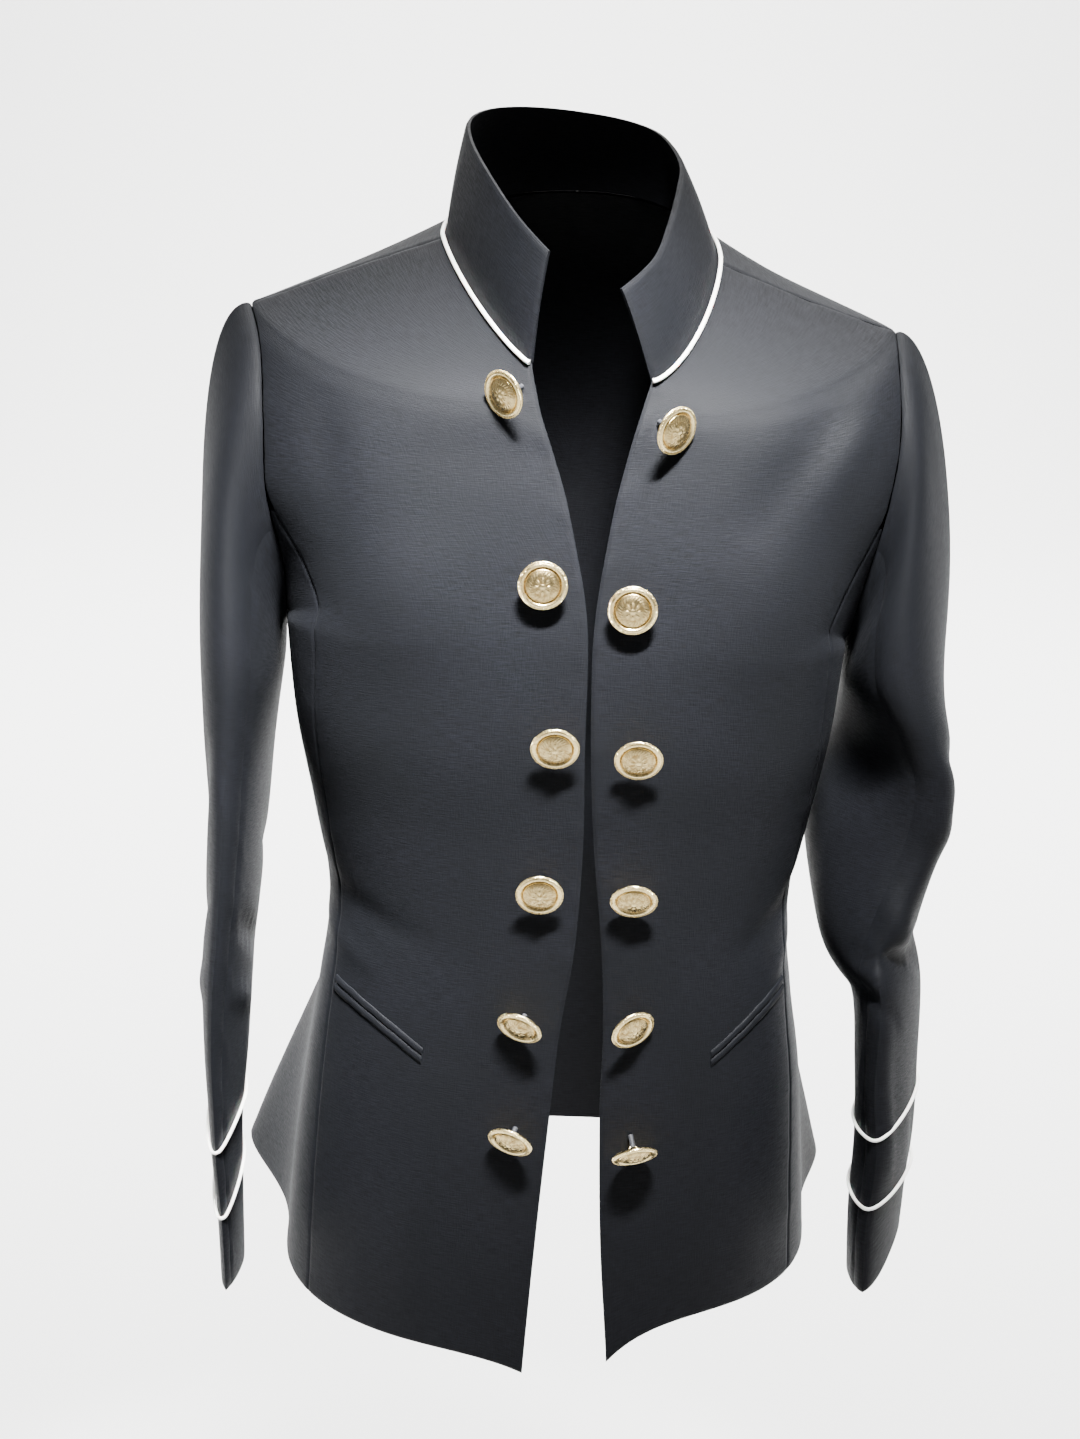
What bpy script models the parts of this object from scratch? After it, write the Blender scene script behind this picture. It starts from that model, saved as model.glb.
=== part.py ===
"""A military-style blazer, worn open, as separate pieces of cloth.

Metres, +Z up. The wearer faces -Y, and the origin lies midway between the shoulders, level with
the side of the neck. Right and left are the wearer's, so the right side is at -X.
"""

from math import cos, pi, radians, sin

import bmesh
import bpy
import numpy as np
from mathutils import Matrix, Vector

for old in list(bpy.data.objects):
    bpy.data.objects.remove(old, do_unlink=True)

MM = 0.001
RIGHT, LEFT = -1, 1
SIDES = {RIGHT: "right", LEFT: "left"}

# Driving dimensions
BODY_WALL = 1.8 * MM
SLEEVE_WALL = 1.6 * MM
COLLAR_WALL = 2.4 * MM
SEAM_GAP = 0.3 * MM
SLEEVE_SEAM_GAP = 0.4 * MM
PIPING_RADIUS = 1.25 * MM
CUFF_PIPING_RADIUS = 1.0 * MM
BUTTON_RADIUS = 13.3 * MM
WELT_WIDTH = 4.8 * MM
WELT_THICKNESS = 1.0 * MM

# Levels of the body, counted from the hem up. Every table of the body has a row for each.
(HEM, HIP, HIGH_HIP, LOW_WAIST, WAIST, RIBS, UNDER_BUST, UNDERARM,
 ARMPIT, CHEST, UPPER_CHEST, HIGH_CHEST, CAP, SHOULDER_TIP, MID_SHOULDER, NECK) = range(16)

# Front edge of each half, in mm: x right, x left, y, z right, z left
FRONT_EDGE = np.array([
    (-13.0, 36.5, -105, -650, -624),
    (-7.5, 30.5, -103, -575, -570),
    (-1.5, 27.5, -101, -500, -498),
    (3.0, 27.7, -100, -446, -446),
    (10.0, 25.0, -101, -393, -393),
    (12.7, 18.9, -104, -333, -335),
    (11.8, 15.2, -109, -275, -280),
    (11.7, 13.9, -110, -215, -220),
    (9.8, 15.0, -108, -193, -198),
    (5.4, 18.2, -106, -172, -174),
    (-2.0, 23.3, -101, -140, -143),
    (-9.3, 28.8, -96, -117, -119),
    (-14.7, 32.5, -93, -102, -105),
    (-17.8, 35.2, -90, -92, -96),
    (-20.4, 38.0, -86, -81, -87),
    (-23.0, 41.0, -82, -70, -78),
])

# Side seam, then front edge of the armhole, then shoulder seam, in mm:
# x right, x left, y, z right, z left
FRONT_SIDE = np.array([
    (-164, 161, 0, -637, -619),
    (-159, 157, 0, -572, -563),
    (-150, 151, 0, -500, -498),
    (-142, 143, 0, -448, -448),
    (-136, 138, 0, -395, -395),
    (-145, 147, 0, -338, -340),
    (-155, 156, 0, -283, -288),
    (-160, 161, 0, -228, -234),
    (-159, 162, -23, -220, -226),
    (-159, 166, -41, -190, -196),
    (-167, 175, -53, -148, -148),
    (-169, 180, -47, -107, -110),
    (-173, 180, -26, -71, -76),
    (-181, 180, -2, -51, -57),
    (-128, 130, -3, -31, -41),
    (-73, 79, 0, -12, -22),
])

# Side seam, then back edge of the armhole, then shoulder seam, in mm, in the same columns
BACK_SIDE = FRONT_SIDE.copy()
BACK_SIDE[ARMPIT:SHOULDER_TIP] = (
    (-160, 161, 22, -220, -225),
    (-161, 163, 39, -190, -195),
    (-166, 169, 52, -148, -150),
    (-170, 174, 48, -105, -110),
    (-176, 179, 27, -70, -76),
)

# Centre back, in mm: y, z
CENTRE_BACK = np.array([
    (130, -612), (122, -560), (112, -496), (100, -446), (86, -392), (85, -335), (91, -275), (98, -215),
    (100, -192), (103, -165), (105, -125), (103, -87), (98, -56), (91, -33), (78, -10), (60, 11),
])

# Fullness of the curve round each half (2 is an ellipse), its end angle, and the two long seams
# as a share of the way from the centre to the side: front right, front left, back, end angle,
# front seam, back seam
ROUNDING = np.array([
    (2.1, 2.1, 2.9, 90, 0.72, 0.50),
    (2.2, 2.2, 2.8, 90, 0.73, 0.50),
    (2.3, 2.3, 2.6, 90, 0.75, 0.50),
    (2.4, 2.4, 2.4, 90, 0.76, 0.49),
    (2.4, 2.4, 2.4, 90, 0.77, 0.48),
    (2.5, 2.5, 2.5, 90, 0.75, 0.50),
    (2.7, 2.7, 2.6, 90, 0.71, 0.53),
    (2.8, 2.8, 2.7, 90, 0.67, 0.57),
    (2.7, 2.7, 2.7, 82, 0.73, 0.63),
    (2.6, 2.6, 2.6, 74, 0.85, 0.77),
    (2.4, 2.4, 2.5, 68, 1.00, 1.00),
    (2.3, 2.3, 2.4, 64, 1.00, 1.00),
    (2.2, 2.2, 2.3, 62, 1.00, 1.00),
    (2.1, 2.1, 2.2, 62, 1.00, 1.00),
    (1.7, 1.9, 2.2, 68, 1.00, 1.00),
    (1.22, 1.5, 2.2, 90, 1.00, 1.00),
])
FRONT_SEAM, BACK_SEAM = 4, 5

# Each half's hem dips at its front corner, and its skirt flares out behind the side seam
HEM_DIP = {RIGHT: 13.5 * MM, LEFT: 30.5 * MM}
HEM_DIP_WIDTH = 7.5
FLARE = {RIGHT: 68 * MM, LEFT: 46 * MM}
FLARE_PLACE, FLARE_WIDTH = 0.62, 0.20
FLARE_OUT = np.array((0.88, 0.47, 0.0))

# Sizes of the grids: columns across each panel, and the levels of their rows
FRONT_COLUMNS, SIDE_FRONT_COLUMNS, SIDE_BACK_COLUMNS, BACK_COLUMNS = 9, 4, 6, 7
ROWS = [0.5 * step for step in range(2 * NECK + 1)]
SIDE_PANEL_TOP = UPPER_CHEST - 0.5
# The long front panel is three solids, so that its collision follows its curve: their names from
# the hem up, and the levels of the two cuts, each as wide as a seam gap
FRONT_PARTS = ("lower", "middle", "upper")
FRONT_CUTS = (2.5, 6.5)
CUT_HALF_GAP = 0.003
RING_POINTS = 72


def unit(vector):
    """The vector, or each vector of an array, at length 1."""
    vector = np.asarray(vector, dtype=float)
    return vector / np.maximum(np.linalg.norm(vector, axis=-1, keepdims=True), 1e-12)


def between_rows(table, level):
    """A table's row at any level, on a smooth curve through its rows."""
    last = len(table) - 1
    level = min(max(level, 0.0), float(last))
    low = min(int(level), last - 1)
    t = level - low
    before, start, end, after = (table[min(max(low + step, 0), last)] for step in (-1, 0, 1, 2))
    return 0.5 * (2 * start + (end - before) * t + (2 * before - 5 * start + 4 * end - after) * t ** 2
                  + (3 * (start - end) + after - before) * t ** 3)


def side_line(table, level):
    """The outer end of a half's ring: side seam, then armhole edge, then shoulder seam."""
    if level <= UNDERARM:
        return between_rows(table[:UNDERARM + 1], level)
    if level <= SHOULDER_TIP:
        return between_rows(table[UNDERARM:SHOULDER_TIP + 1], level - UNDERARM)
    return between_rows(table[SHOULDER_TIP:], level - SHOULDER_TIP)


def along(points, shares):
    """Points at given shares of a line's length."""
    steps = np.linalg.norm(np.diff(points, axis=0), axis=1)
    reach = np.concatenate(([0.0], np.cumsum(steps)))
    wanted = np.asarray(shares) * reach[-1]
    return np.stack([np.interp(wanted, reach, points[:, axis]) for axis in range(3)], axis=-1)


# The cloth's outer surface on the body

rings = {}


def ring(side, part, level):
    """The line round one half of the front or back at a level, from its centre to its side."""
    key = (side, part, round(level, 4))
    if key in rings:
        return rings[key]
    column = 0 if side == RIGHT else 1
    if part == "front":
        x, y, z = between_rows(FRONT_EDGE, level)[[column, 2, 3 + column]]
        end = side_line(FRONT_SIDE, level)[[column, 2, 3 + column]]
    else:
        x = 0.0
        y, z = between_rows(CENTRE_BACK, level)
        end = side_line(BACK_SIDE, level)[[column, 2, 3 + column]]
    start = np.array((x, y, z))
    rounding = between_rows(ROUNDING, level)
    power = 2 / rounding[column if part == "front" else 2]
    wrap = rounding[3]
    turn = np.linspace(0, radians(min(wrap, 90.0)), RING_POINTS)
    out = np.sin(turn) ** power
    out = out / out[-1]
    back = np.clip(np.cos(turn), 0, 1) ** power
    back = (back - back[-1]) / (1 - back[-1])
    points = np.stack([start[0] + (end[0] - start[0]) * out,
                       end[1] + (start[1] - end[1]) * back,
                       end[2] + (start[2] - end[2]) * back], axis=1) * MM
    points = along(points, np.linspace(0, 1, RING_POINTS))
    share = np.linspace(0, 1, RING_POINTS)
    if part == "front":
        fade = max(0.0, 1 - level / HIGH_HIP) ** 2
        points[:, 2] -= HEM_DIP[side] * fade * (1 - share) ** HEM_DIP_WIDTH
    else:
        drop = max(0.0, (points[:, 2].mean() + 0.415) / -0.2)
        bump = np.exp(-((share - FLARE_PLACE) / FLARE_WIDTH) ** 2) * (1 - share ** 6)
        points += np.outer(bump * FLARE[side] * drop, FLARE_OUT * (side, 1, 1))
    rings[key] = points
    return points


def place(side, part, level, share):
    """A point of the cloth's outer surface."""
    return along(ring(side, part, level), [min(max(share, 0.0), 1.0)])[0]


def facing(side, part, level, share):
    """The direction in which the outer surface faces."""
    def own(which):
        low, high = max(share - 0.012, 0.0), min(share + 0.012, 1.0)
        across = place(side, which, level, high) - place(side, which, level, low)
        down, up = max(level - 0.08, 0.0), min(level + 0.08, float(NECK))
        rise = place(side, which, up, share) - place(side, which, down, share)
        return unit(np.cross(across, rise)) * (side if which == "front" else -side)
    direction = own(part)
    if share > 0.999 and (level <= UNDERARM or level >= SHOULDER_TIP):
        direction = unit(direction + own("back" if part == "front" else "front"))
    if part == "back" and share < 0.001:
        direction = unit(direction * (0, 1, 1))
    return direction


# Building tools

blazer = bpy.data.collections.new("military_style_blazer")
bpy.context.scene.collection.children.link(blazer)


def material(name, colour, roughness, metallic=0.0):
    """A plain material of one colour."""
    made = bpy.data.materials.new(name)
    made.use_nodes = True
    shader = made.node_tree.nodes["Principled BSDF"]
    shader.inputs["Base Color"].default_value = (*colour, 1.0)
    shader.inputs["Roughness"].default_value = roughness
    shader.inputs["Metallic"].default_value = metallic
    return made


def add_object(name, data, finish):
    """One named piece of the blazer."""
    piece = bpy.data.objects.new(name, data)
    data.materials.append(finish)
    blazer.objects.link(piece)
    return piece


def cloth(name, outer, outward, wall, finish, lift=0.0):
    """A piece of cloth: a grid of outer points, with its wall inside them."""
    rows, columns = outer.shape[0] - 1, outer.shape[1] - 1
    bm = bmesh.new()
    spot = bm.verts.layers.int.new("spot")
    bmesh.ops.create_grid(bm, x_segments=columns, y_segments=rows, size=0.5)
    for vert in bm.verts:
        column = round((vert.co.x + 0.5) * columns)
        row = round((vert.co.y + 0.5) * rows)
        vert[spot] = row * (columns + 1) + column
    flat_outer, flat_outward = outer.reshape(-1, 3), outward.reshape(-1, 3)
    grown = bmesh.ops.extrude_face_region(bm, geom=bm.faces[:])
    inner = {item for item in grown["geom"] if isinstance(item, bmesh.types.BMVert)}
    for vert in bm.verts:
        depth = lift - (wall if vert in inner else 0.0)
        vert.co = flat_outer[vert[spot]] + flat_outward[vert[spot]] * depth
    bmesh.ops.recalc_face_normals(bm, faces=bm.faces[:])
    if bm.calc_volume(signed=True) < 0:
        bmesh.ops.reverse_faces(bm, faces=bm.faces[:])
    mesh = bpy.data.meshes.new(name)
    bm.to_mesh(mesh)
    bm.free()
    mesh.shade_smooth()
    mesh.set_sharp_from_angle(angle=radians(50))
    return add_object(name, mesh, finish)


def tube(name, points, radius, finish, closed=False):
    """A round cord along a line of points."""
    curve = bpy.data.curves.new(name, "CURVE")
    curve.dimensions = "3D"
    curve.bevel_depth = radius
    curve.bevel_resolution = 1
    curve.use_fill_caps = not closed
    line = curve.splines.new("POLY")
    line.points.add(len(points) - 1)
    for spot, point in zip(line.points, points):
        spot.co = (*point, 1.0)
    line.use_cyclic_u = closed
    return add_object(name, curve, finish)


def drawn_in(outer, gap):
    """A grid whose first and last columns stand half a seam gap inside their lines."""
    outer = outer.copy()
    for edge, beside in ((0, 1), (-1, -2)):
        seam = unit(np.gradient(outer[:, edge], axis=0))
        inward = outer[:, beside] - outer[:, edge]
        inward = unit(inward - seam * np.sum(inward * seam, axis=1, keepdims=True))
        outer[:, edge] += inward * gap / 2
    return outer


navy = material("navy twill", (0.012, 0.014, 0.022), 0.75)
white = material("white piping", (0.80, 0.80, 0.78), 0.6)
gold = material("pale gold metal", (0.75, 0.60, 0.34), 0.3, 1.0)


# Body panels

def seam_share(level, column):
    """Where a long seam runs, as a share of the way from the centre to the side."""
    return 1.0 if level > SIDE_PANEL_TOP else min(between_rows(ROUNDING, level)[column], 1.0)


def body_panel(name, side, part, bounds, columns, rows):
    """A panel between two seams; bounds gives their shares at a level."""
    outer, outward = [], []
    for level in rows:
        low, high = bounds(level)
        shares = np.linspace(low, high, columns + 1)
        outer.append([place(side, part, level, share) for share in shares])
        outward.append([facing(side, part, level, share) for share in shares])
    return cloth(name, drawn_in(np.array(outer), SEAM_GAP), np.array(outward), BODY_WALL, navy)


def panel_solids(name, cuts):
    """The names and rows of a panel's solids, from the hem up."""
    if not cuts:
        return [(name, ROWS)]
    ends = (ROWS[0], *cuts, ROWS[-1])
    found = []
    for word, low, high in zip(FRONT_PARTS, ends, ends[1:]):
        inner = [level for level in ROWS if low < level < high]
        first = low if low == ROWS[0] else low + CUT_HALF_GAP
        last = high if high == ROWS[-1] else high - CUT_HALF_GAP
        found.append((f"{name}_{word}", [first, *inner, last]))
    return found


side_rows = [level for level in ROWS if level <= SIDE_PANEL_TOP]
for side, word in SIDES.items():
    for part, seam, columns, side_columns in (
            ("front", FRONT_SEAM, FRONT_COLUMNS, SIDE_FRONT_COLUMNS),
            ("back", BACK_SEAM, BACK_COLUMNS, SIDE_BACK_COLUMNS)):
        for name, rows in panel_solids(f"{part}_{word}", FRONT_CUTS if part == "front" else ()):
            body_panel(name, side, part, lambda level: (0.0, seam_share(level, seam)), columns, rows)
        body_panel(f"side_{part}_{word}", side, part,
                   lambda level: (seam_share(level, seam), 1.0), side_columns, side_rows)


# Stand collar and the piping in its seam

# Top edge of the collar from the right front corner round the back to the left one, in mm: x, y, z
COLLAR_TOP = np.array([
    (-16, -81, -12), (-34, -64, 5), (-51, -34, 26), (-61, -2, 41), (-62, 22, 51), (-50, 46, 56),
    (-28, 60, 57), (0, 65, 55), (28, 60, 51), (48, 46, 44), (58, 24, 31), (56, 0, 18),
    (50, -30, 0), (44, -53, -13), (36, -68, -21), (24, -82, -30),
]) * MM
COLLAR_ROWS = 3
COLLAR_BULGE = 1.5 * MM


def neck_line():
    """The neck seam's points at the panels' own columns, and the way the body faces there."""
    stops = []
    for side, order in ((RIGHT, 1), (LEFT, -1)):
        front = [("front", share) for share in np.linspace(0, 1, FRONT_COLUMNS + 1)]
        back = [("back", share) for share in np.linspace(1, 0, BACK_COLUMNS + 1)[1:]]
        half = [(side, part, share) for part, share in front + back]
        stops += half if order == 1 else half[-2::-1]
    points = np.array([place(side, part, NECK, share) for side, part, share in stops])
    faces = np.array([facing(side, part, NECK, share) for side, part, share in stops])
    return points, faces


def grid_facing(outer, inside, closed=False):
    """The outward direction at each point of a grid, away from a line of points inside it."""
    if closed:
        across = np.roll(outer, -1, axis=1) - np.roll(outer, 1, axis=1)
    else:
        across = np.gradient(outer, axis=1)
    normal = unit(np.cross(across, np.gradient(outer, axis=0)))
    away = np.sum(normal * (outer - inside[:, None, :]), axis=-1, keepdims=True)
    return normal * np.sign(away.mean())


seam, body_facing = neck_line()
reach = np.concatenate(([0.0], np.cumsum(np.linalg.norm(np.diff(seam, axis=0), axis=1))))
top_line = np.array([between_rows(COLLAR_TOP, step) for step in np.linspace(0, len(COLLAR_TOP) - 1, 121)])
top_edge = along(top_line, reach / reach[-1])
collar = []
for step in range(COLLAR_ROWS + 1):
    share = step / COLLAR_ROWS
    row = seam + (top_edge - seam) * share
    row = row + unit(top_edge - seam) * SEAM_GAP * 1.5 * (1 - share)
    collar.append(row)
collar = np.array(collar)
collar_facing = grid_facing(collar, collar.mean(axis=1))
swell = np.sin(np.linspace(0, pi, COLLAR_ROWS + 1))[:, None, None] * COLLAR_BULGE
cloth("collar", collar + collar_facing * swell, collar_facing, COLLAR_WALL, navy)

both = unit(body_facing + collar_facing[0])
lean = np.clip(np.sum(both * collar_facing[0], axis=1, keepdims=True), 0.4, 1.0)
tube("neck_piping", seam + both * (PIPING_RADIUS + 1.6 * SEAM_GAP) / lean, PIPING_RADIUS, white)


# Sleeves

# Rings of each sleeve below the underarm, in mm and degrees: x, y and z of the centre, width
# from the front fold to the back fold, thickness, and turn of the front fold towards the body
SLEEVE_RINGS = {
    RIGHT: np.array([
        (-187, -3, -262, 148, 45, 0),
        (-189, -5, -305, 145, 38, 0),
        (-190, -9, -342, 141, 34, 0),
        (-192, -15, -384, 137, 31, 0),
        (-195, -25, -436, 132, 28, 0),
        (-195, -37, -488, 127, 23, 0),
        (-194, -50, -532, 123, 17, 2.5),
        (-191, -60, -571, 120, 14, 4),
        (-188, -72, -615, 117, 12.5, 4.5),
    ]),
    LEFT: np.array([
        (192, -2, -264, 139, 57, -2),
        (192, -4, -306, 136, 54, -20),
        (184.5, -8, -352, 126, 57, -24),
        (185.5, -16, -406, 119, 56, -6),
        (198, -24, -438, 124, 42, 9),
        (200.5, -33, -486, 121, 37, 14),
        (200.5, -44, -530, 116.5, 35, 13),
        (197, -54, -570, 114, 32, 14),
        (195, -66, -611, 112, 28, 13),
    ]),
}
# How far up the table the hem has climbed at the front fold, the outer side, the back fold, the
# inner side and the front fold again, and the row from which it does so
HEM_CLIMB = {RIGHT: (0.0, 0.0, 0.05, 0.0, 0.0), LEFT: (0.0, 0.66, 0.80, 0.10, 0.0)}
HEM_CLIMB_START = 6
FOLD_SHARPNESS = (2.0, 1.55)
CAP_SPREAD = {RIGHT: 30 * MM, LEFT: 26 * MM}
CAP_ROWS, ARM_ROWS = 6, 11
ARMHOLE_LEVELS = [UNDERARM + 0.5 * step for step in range(2 * (SHOULDER_TIP - UNDERARM) + 1)]
SEAM_LEVEL = UPPER_CHEST - 0.5


def sleeve_section(side, row, count=240):
    """A closed section of the arm, starting at the front fold and running over the outer side."""
    table = SLEEVE_RINGS[side]
    x, y, z, width, thick, turn = between_rows(table, row)
    ahead = between_rows(table, row + 0.25)[:3] - between_rows(table, row - 0.25)[:3]
    down = unit(ahead)
    fore = np.array((-side * sin(radians(turn)), -cos(radians(turn)), 0.0))
    fore = unit(fore - down * fore.dot(down))
    outer = np.cross(down, fore)
    outer = outer * np.sign(outer[0] * side)
    sharp = np.interp(row / (len(table) - 1), (0.0, 0.6), FOLD_SHARPNESS)
    angle = np.linspace(0, 2 * pi, count + 1)
    to_front = np.sign(np.cos(angle)) * np.abs(np.cos(angle)) ** (2 / sharp) * width / 2
    to_side = np.sign(np.sin(angle)) * np.abs(np.sin(angle)) ** (2 / sharp) * thick / 2
    return (np.array((x, y, z)) + np.outer(to_front, fore) + np.outer(to_side, outer)) * MM


def armhole(side):
    """The armhole's points, from the underarm up the front edge, over the top and down the back."""
    front = [place(side, "front", level, 1.0) for level in ARMHOLE_LEVELS]
    back = [place(side, "back", level, 1.0) for level in ARMHOLE_LEVELS]
    return np.array(front + back[-2:0:-1])


def sleeve_columns(side):
    """Each armhole point's place round a section: 0 at the front fold, 0.25 at the top of the cap."""
    points = armhole(side)
    steps = np.linalg.norm(np.roll(points, -1, axis=0) - points, axis=1)
    run = np.concatenate(([0.0], np.cumsum(steps)))
    half = len(ARMHOLE_LEVELS) - 1
    fold = ARMHOLE_LEVELS.index(UPPER_CHEST)
    marks = [run[0], run[fold], run[half], run[2 * half - fold], run[2 * half]]
    return np.interp(run[:-1], marks, (-0.25, 0.0, 0.25, 0.5, 0.75))


def sleeve_grid(side):
    """Rows of points from the armhole to the cuff, each one closed."""
    holes = armhole(side)
    shares = sleeve_columns(side)
    first, second = (along(sleeve_section(side, row), shares % 1.0) for row in (0.0, 0.5))
    middle = holes.mean(axis=0)
    away = unit((holes - middle) * (0, 1, 1))
    height = np.clip((holes[:, 2:3] - holes[:, 2].min()) / np.ptp(holes[:, 2]), 0, 1)
    out = np.array((side, 0.0, 0.0))
    leave = unit(out + away * (0.30 - 0.25 * height) + np.array((0, 0, -1.6)) * (1 - height) ** 4)
    spread = CAP_SPREAD[side] * (0.30 + 0.70 * height ** 0.7)
    start = holes + out * SEAM_GAP * 1.5 + np.array((0, 0, -1.0)) * SEAM_GAP * (1 - height) ** 8
    distance = np.linalg.norm(first - start, axis=1, keepdims=True)
    rise = unit(first - second) * distance * 0.45
    rows = []
    for step in range(CAP_ROWS):
        t = (step / CAP_ROWS) ** 1.25
        rows.append(start * (1 - t) ** 3 + (start + leave * spread) * 3 * t * (1 - t) ** 2
                    + (first + rise) * 3 * t ** 2 * (1 - t) + first * t ** 3)
    last = len(SLEEVE_RINGS[side]) - 1
    climbs = np.interp(shares % 1.0, np.linspace(0, 1, 5), HEM_CLIMB[side])
    for row in np.linspace(0, last, ARM_ROWS + 1):
        fade = max(0.0, (row - HEM_CLIMB_START) / (last - HEM_CLIMB_START))
        rows.append(np.array([along(sleeve_section(side, row - climb * fade), [share % 1.0])[0]
                              for share, climb in zip(shares, climbs)]))
    return np.array(rows)


def mitred(points, centre, distance):
    """A closed line moved outwards by a distance from both of its stretches at each corner."""
    ahead = unit(np.roll(points, -1, axis=0) - points)
    behind = unit(points - np.roll(points, 1, axis=0))
    plane = unit(np.cross(points - centre, ahead).mean(axis=0))
    outs = [unit(np.cross(line, plane)) for line in (behind, ahead)]
    outs = [out * np.sign(np.sum(out * (points - centre), axis=1).mean()) for out in outs]
    corner = unit(outs[0] + outs[1])
    spread = np.clip(np.sum(corner * outs[0], axis=1, keepdims=True), 0.35, 1.0)
    return points + corner * distance / spread


# Rows of the sleeve table at which the cuff's two pipings lie
CUFF_PIPING_ROWS = {RIGHT: (6.13, 7.07), LEFT: (5.83, 6.82)}
CUFF_PIPING_POINTS = 24
# The same for each piping
CUFF_PIPING_CLIMB = {RIGHT: (0.0, 0.36, 0.60, 0.42, 0.0), LEFT: (0.0, 0.50, 0.66, 0.12, 0.0)}


def cuff_line(side, row):
    """A closed line round the cuff, lowest at the front fold."""
    loop = []
    for step in range(CUFF_PIPING_POINTS):
        share = step / CUFF_PIPING_POINTS
        climb = np.interp(share, np.linspace(0, 1, 5), CUFF_PIPING_CLIMB[side])
        loop.append(along(sleeve_section(side, row - climb), [share])[0])
    return np.array(loop)


for side, word in SIDES.items():
    grid = sleeve_grid(side)
    outward = grid_facing(grid, grid.mean(axis=1), closed=True)
    low = ARMHOLE_LEVELS.index(SEAM_LEVEL)
    total = grid.shape[1]
    upper = list(range(low, total - low + 1))
    under = [column % total for column in range(total - low, total + low + 1)]
    for name, columns in (("upper", upper), ("under", under)):
        piece = drawn_in(grid[:, columns], SLEEVE_SEAM_GAP)
        cloth(f"{name}_sleeve_{word}", piece, outward[:, columns], SLEEVE_WALL, navy)
    for number, row in enumerate(CUFF_PIPING_ROWS[side], start=1):
        loop = cuff_line(side, row)
        line = mitred(loop, loop.mean(axis=0), CUFF_PIPING_RADIUS + 2 * SEAM_GAP)
        tube(f"cuff_piping_{word}_{number}", line, CUFF_PIPING_RADIUS, white, closed=True)


# Pocket welts, laid on the front panels

def level_at(side, share, height):
    """The level at which the front panel reaches a height."""
    low, high = 0.0, float(NECK)
    for _ in range(24):
        middle = (low + high) / 2
        if place(side, "front", middle, share)[2] < height:
            low = middle
        else:
            high = middle
    return low


# Upper line of each pocket from its outer end, in mm: height; and its two ends as shares
POCKET_HEIGHTS = {RIGHT: (-434, -437, -443, -451, -461), LEFT: (-429, -432, -438, -447, -458)}
POCKET_SHARES = {RIGHT: (0.735, 0.385), LEFT: (0.735, 0.36)}
POCKET_STEPS = 8

for side, word in SIDES.items():
    spans = np.linspace(0, 1, POCKET_STEPS + 1)
    shares = np.interp(spans, (0, 1), POCKET_SHARES[side])
    heights = np.interp(spans, np.linspace(0, 1, len(POCKET_HEIGHTS[side])), POCKET_HEIGHTS[side]) * MM
    for name, top in (("upper", 0.0), ("lower", WELT_WIDTH + 0.5 * MM)):
        outer, outward = [], []
        for drop in (top, top + WELT_WIDTH / 2, top + WELT_WIDTH):
            levels = [level_at(side, share, height - drop) for share, height in zip(shares, heights)]
            outer.append([place(side, "front", level, share) for level, share in zip(levels, shares)])
            outward.append([facing(side, "front", level, share) for level, share in zip(levels, shares)])
        cloth(f"pocket_welt_{word}_{name}", np.array(outer), np.array(outward), WELT_THICKNESS, navy,
              lift=WELT_THICKNESS + 1.3 * SEAM_GAP)


# Shank buttons

# Side of a button from the middle of its dome down to the end of its shank, in mm: radius, height
BUTTON_PROFILE = ((0.0, 2.9), (9.6, 1.3), (11.2, 1.5), (12.9, 1.1), (13.3, 0.0), (12.0, -1.2), (2.1, -1.8))
BUTTON_STEPS = 14

# Rows of buttons from the neck down, in mm and degrees, for the right half and then the left:
# x and z of the sewn point, droop of its face, and turn of its face to the left
BUTTON_ROWS = {
    RIGHT: ((-27.5, -82.5, 12, -42), (-13.5, -182, 2, 0), (-4.5, -269, 20, 0), (-10.5, -356, 18, 0),
            (-17, -434.5, 32, -22), (-20.6, -504.5, 33, -21)),
    LEFT: ((45.5, -98.3, 12, 40), (34.3, -194, 2, 0), (40.6, -274, 23, 0), (41.5, -357, 30, 0),
           (40.9, -436, 21, 28), (45.5, -507, 44, 16)),
}
SHORTEST_STEM = 5.0 * MM
STEM_RADIUS = 1.9 * MM
BUTTON_BACK = 1.8 * MM


def sewn_at(side, x, height):
    """The level and share of the front panel at a place seen from the front."""
    low, high = 0.0, 0.6
    for _ in range(20):
        share = (low + high) / 2
        level = level_at(side, share, height)
        edge = place(side, "front", level, 0.0)[0]
        if abs(place(side, "front", level, share)[0] - edge) < abs(x - edge):
            low = share
        else:
            high = share
    return level_at(side, low, height), low


def button(name, base, axis, stem):
    """A turned button with its shank's end at a place, facing along an axis."""
    mesh = bpy.data.meshes.new(name)
    profile = [(radius * MM, height * MM) for radius, height in BUTTON_PROFILE]
    profile += [(STEM_RADIUS, -BUTTON_BACK - stem), (0.0, -BUTTON_BACK - stem)]
    mesh.from_pydata([(radius, 0, height) for radius, height in profile],
                     [(step, step + 1) for step in range(len(profile) - 1)], [])
    piece = add_object(name, mesh, gold)
    turn = piece.modifiers.new("turn", "SCREW")
    turn.steps = turn.render_steps = BUTTON_STEPS
    turn.use_merge_vertices = True
    turn.merge_threshold = 0.00005
    rotation = Vector(axis).to_track_quat("Z", "Y").to_matrix().to_4x4()
    centre = Vector(base) + Vector(axis) * (BUTTON_BACK + stem)
    piece.matrix_world = Matrix.Translation(centre) @ rotation
    return piece


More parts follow.
